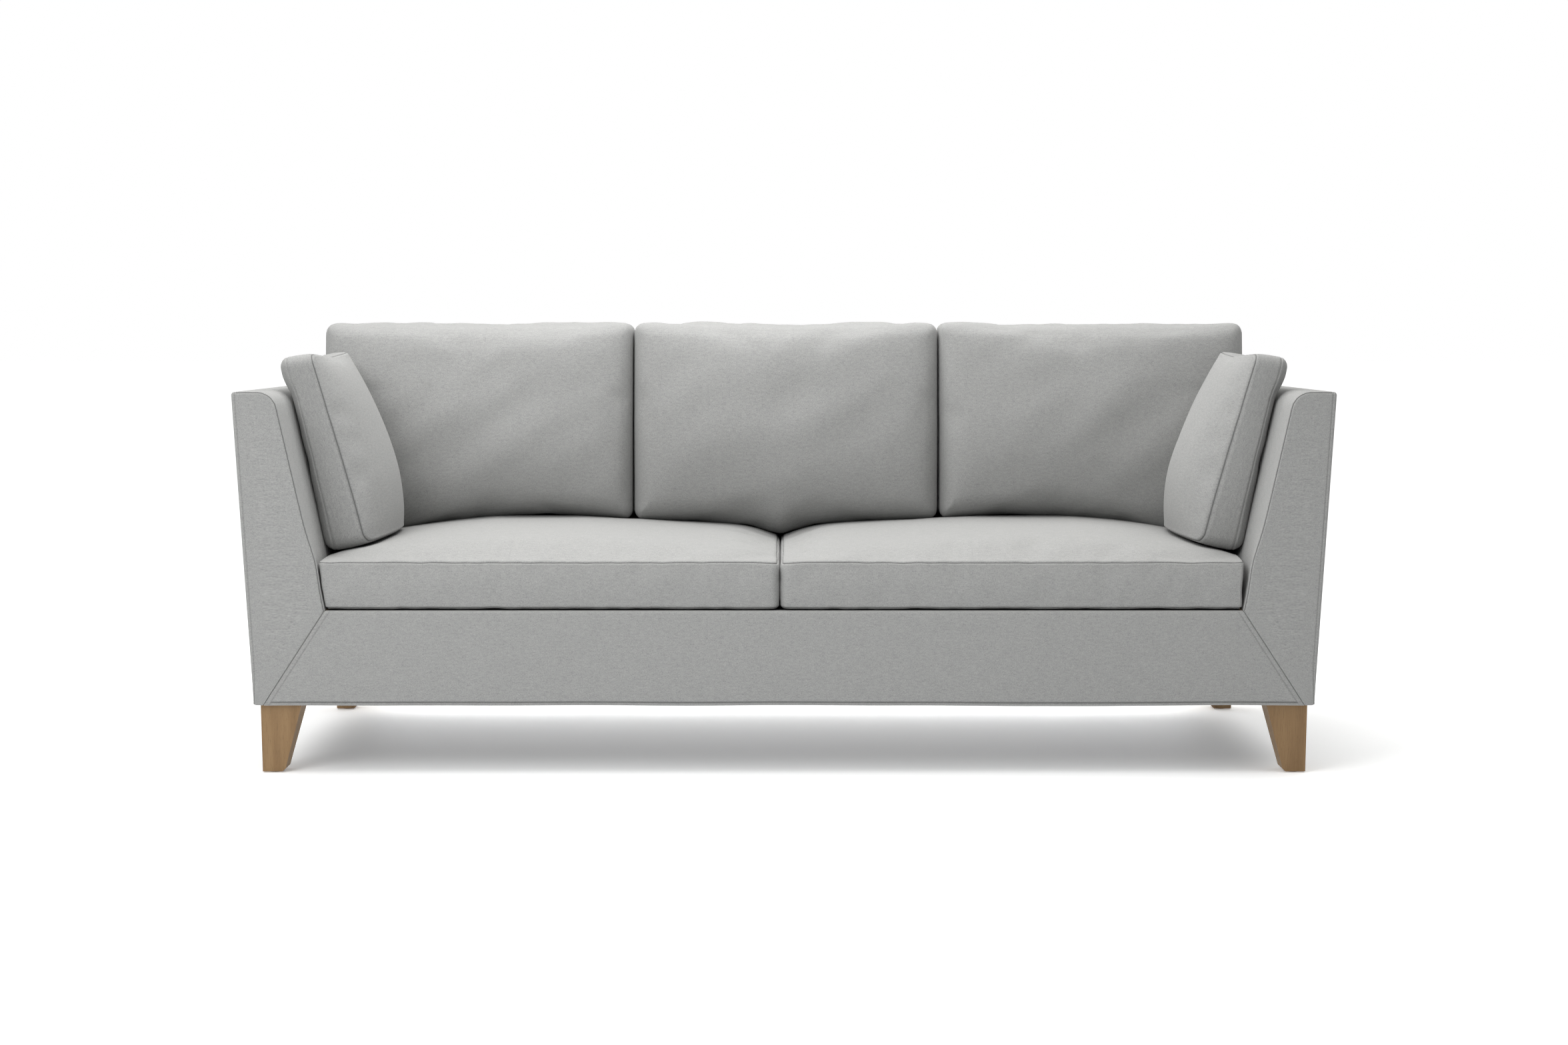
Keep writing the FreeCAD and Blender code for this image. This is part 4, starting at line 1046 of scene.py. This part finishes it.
def seat_deck():
    low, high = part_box("seat_deck_pad")

    def quilt(points):
        top = points[:, 2] > high.z - 2 * MM
        channel = np.abs(np.sin(points[:, 1] * math.pi / 0.10))
        points[:, 2] -= top * 1.2 * MM * (1 - channel) ** 3
        return points

    under_arm = 3 * MM
    deck = block_piece("seat_deck_pad_cloth", (low.x - under_arm, low.y - 0.022, low.z),
                       (high.x + under_arm, high.y, high.z), 0.003, 0.02, DECK_CLOTH,
                       "frame", "padding", "seat_deck_pad", warp=quilt)


def webbing():
    """Elastic bands stretched over the back frame."""
    low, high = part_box("back_webbing")
    sides = sorted(set(np.round(cad_points("back_webbing")[:, 0], 4)))
    all_points, all_quads, all_cloth = [], [], []
    for left, right in zip(sides[::2], sides[1::2]):
        half = ((right - left) / 2, (high.z - low.z) / 2, (high.y - low.y) / 2)
        a = ruled(half[0], 0.01, round_marks(0.0008), round_marks(0.0008))
        b = ruled(half[1], 0.03)
        c = ruled(half[2], 0.001)
        local, quads, cloth = box_skin(a, b, c)
        rounded, _ = soften(local, half, 0.0009, 0.0008, 0.0008, False, False)
        world = np.column_stack([(left + right) / 2 + rounded[:, 0], (low.y + high.y) / 2 - rounded[:, 2],
                                 (low.z + high.z) / 2 + rounded[:, 1]])
        offset = sum(len(group) for group in all_points)
        all_points.append(world)
        all_quads += [[number + offset for number in face] for face in quads]
        all_cloth += cloth
    points = np.vstack(all_points)
    make_piece("back_webbing_bands", points, all_quads, all_cloth, np.zeros(len(points)), BAND, "frame",
               "webbing", "back_webbing")


def back_pads():
    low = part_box("back_padding")[0]
    rear_face = 0.324

    def lean(points):
        depth = (points[:, 1] - low.y) / (rear_face - low.y)
        front_y = rest(points[:, 2]) + 3 * MM
        points[:, 1] = front_y + depth * (rear_face - front_y)
        points[:, 0] *= (well(points[:, 2]) - 3 * MM) / well(ARM_TOP)
        return points

    wide = well(ARM_TOP)
    pad = block_piece("back_padding_wadding", (-wide, low.y, DECK + MM),
                      (wide, rear_face, ARM_TOP - 0.012), 0.002, 0.05, WADDING, "frame", "padding",
                      "back_padding", warp=lean)


def dust_cover():
    """Thin black cloth stapled under the frame, cut round the legs."""
    low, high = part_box("dust_cover")
    leg_low, leg_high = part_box("leg_front_right")
    gap = 2 * MM
    leg_in = leg_low.x - gap
    front_in, rear_in = leg_high.y + gap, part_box("leg_rear_right")[0].y - gap
    xs = [-high.x, *(leg_in * (k / 20 - 1) for k in range(41)), high.x]
    ys = [low.y, *(front_in + (rear_in - front_in) * k / 16 for k in range(17)), high.y]
    points, quads, cloth, index, area = [], [], [], {}, 0
    for i in range(len(xs) - 1):
        for j in range(len(ys) - 1):
            if i in (0, len(xs) - 2) and j in (0, len(ys) - 2):
                continue
            area += (xs[i + 1] - xs[i]) * (ys[j + 1] - ys[j])
            face = []
            for at_i, at_j in ((i, j), (i, j + 1), (i + 1, j + 1), (i + 1, j)):
                if (at_i, at_j) not in index:
                    index[at_i, at_j] = len(points)
                    x, y = xs[at_i], ys[at_j]
                    sag = (1 - (x / high.x) ** 2) * max(0.0, 1 - (y / high.y) ** 2)
                    points.append((x, y, high.z - 0.4 * MM - 1.4 * MM * sag))
                face.append(index[at_i, at_j])
            quads.append(face)
            cloth.append([(points[number][0], points[number][1]) for number in face])
    cover = make_piece("dust_cover_cloth", np.array(points), quads, cloth, np.zeros(len(points)), DUST,
                       "frame", "dust_cloth", "dust_cover")
    thicken(cover, 0.0004)


def finish_cad_nodes():
    """Procedural finishes for the CAD nodes that stay as they are, with eased edges on the timber."""
    finishes = (      # material, eased edge in millimetres, ends of the nodes' names
        (TIMBER, 1.5, ("base_front_rail", "base_rear_rail", "back_top_rail", "back_bottom_rail")),
        (TIMBER_DEEP, 1.5, ("base_left_rail", "base_right_rail", "base_centre_rail", "_arm_top_rail",
                            "_arm_bottom_rail", "_arm_side_rail")),
        (TIMBER_TALL, 1.5, ("back_stiles", "corner_blocks")),
        (BOARD, 0, ("_panel", "_board")),
        (ZINC, 0, ("leg_hanger_bolts", "leg_tee_nuts", "frame_bolts", "frame_nuts")),
        (SPRING, 0, ("seat_springs", "spring_clips")),
        (GLIDE, 0, ("leg_glides",)),
        (LEG_OAK, 1.4, ("leg_front_left", "leg_front_right", "leg_rear_left", "leg_rear_right")),
    )
    for node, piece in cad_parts.items():
        for material, ease, names in finishes:
            if not node.endswith(names):
                continue
            piece.data.materials.clear()
            piece.data.materials.append(material)
            if ease:
                bevel = piece.modifiers.new("eased_edges", "BEVEL")
                bevel.width = ease * MM
                bevel.segments = 3
                bevel.limit_method = "ANGLE"
                bevel.angle_limit = math.radians(30)
                bevel.harden_normals = False
            break


# ---- floor, light and camera

def studio():
    """Pale floor and soft light.  The camera sees floor and backdrop whiter than they light the sofa."""
    mesh = bpy.data.meshes.new("floor")
    mesh.from_pydata([(-30, -12, 0), (30, -12, 0), (30, 60, 0), (-30, 60, 0)], [], [(0, 1, 2, 3)])
    floor = linked("floor", mesh)
    material, tree, shader = node_material("studio_floor")
    place = object_place(tree)
    clouds = noise_of(tree, place, 3, 2.0)
    paper = ramp(tree, clouds, [(0.3, (0.69, 0.70, 0.705)), (0.7, (0.71, 0.72, 0.725))])
    seen = add(tree, "LightPath").outputs["Is Camera Ray"]
    give(shader, Base_Color=mixed(tree, seen, paper, (0.985, 0.993, 0.996)), Roughness=0.6,
         Emission_Color=(1.0, 1.0, 1.0, 1), Emission_Strength=0.24, Specular_IOR_Level=0.2)
    mesh.materials.append(material)

    world = bpy.data.worlds.new("studio")
    bpy.context.scene.world = world
    world.use_nodes = True
    tree = world.node_tree
    fill = tree.nodes["Background"]
    give(fill, Color=(0.94, 0.98, 1.0, 1), Strength=0.13)
    backdrop = add(tree, "Background")
    give(backdrop, Color=(1.0, 1.0, 1.0, 1), Strength=1.0)
    choice = add(tree, "MixShader")
    give(choice, Fac=add(tree, "LightPath").outputs["Is Camera Ray"])
    put(choice.inputs[1], fill.outputs["Background"])
    put(choice.inputs[2], backdrop.outputs["Background"])
    give(tree.nodes["World Output"], Surface=choice.outputs["Shader"])

    sky = bpy.data.lights.new("overhead", "SUN")
    sky.energy = 2.6
    sky.angle = math.radians(90)
    sky.color = (1.0, 0.985, 0.965)
    lamp = linked("overhead", sky)
    lamp.rotation_euler = (math.radians(-10), math.radians(-3), 0)

    def softbox(name, place, aim, wide, tall, power):
        data = bpy.data.lights.new(name, "AREA")
        data.shape = "RECTANGLE"
        data.size, data.size_y, data.energy = wide, tall, power
        light = linked(name, data)
        light.location = place
        light.rotation_euler = (Vector(aim) - Vector(place)).to_track_quat("-Z", "Y").to_euler()
        light.visible_camera = False

    softbox("key", (-1.8, -2.8, 2.3), (0, 0, 0.45), 1.6, 1.6, 43)
    softbox("top_rear", (-0.1, 0.30, 2.1), (0, 0.1, 0.4), 2.6, 0.5, 18)
    softbox("top_front", (-0.1, -0.70, 2.3), (0, 0.1, 0.5), 1.8, 0.6, 8)
    softbox("under", (0.0, 0.40, 0.115), (0, 0.12, 0.0), 1.85, 0.03, 1.9)


def camera():
    data = bpy.data.cameras.new("camera")
    data.sensor_width = 36.0
    data.lens = 56.8
    looking_down = math.radians(4.48)
    eye = linked("camera", data)
    eye.location = (0.0, -5.158, 0.855)
    eye.rotation_euler = (math.radians(90) - looking_down, 0.0, 0.0)
    bpy.context.scene.camera = eye


# ---- the sofa

camera()
studio()
bpy.context.scene.view_settings.view_transform = "Standard"

cushions = {}
for side_key in SIDES:
    cushions[f"seat_cushion_{side_key}"] = seat_cushion(side_key)
    cushions[f"side_cushion_{side_key}"] = side_cushion(side_key)
for back_key in back_boxes:
    cushions[f"back_cushion_{back_key}"] = back_cushion(back_key)
movement = run_sims()
for body_name, form in cushions.items():
    cover = form.finish(movement, FABRIC, body_name, f"{body_name}_cover")

for side_key in SIDES:
    arm_cover(side_key)
    wadding = arm_cover(side_key, 0.003, f"{side_key}_arm_wadding", WADDING, (f"{side_key}_arm_padding",))
front_rail()
back_cover()
back_pads()
foam_cores()
seat_deck()
webbing()
dust_cover()
finish_cad_nodes()
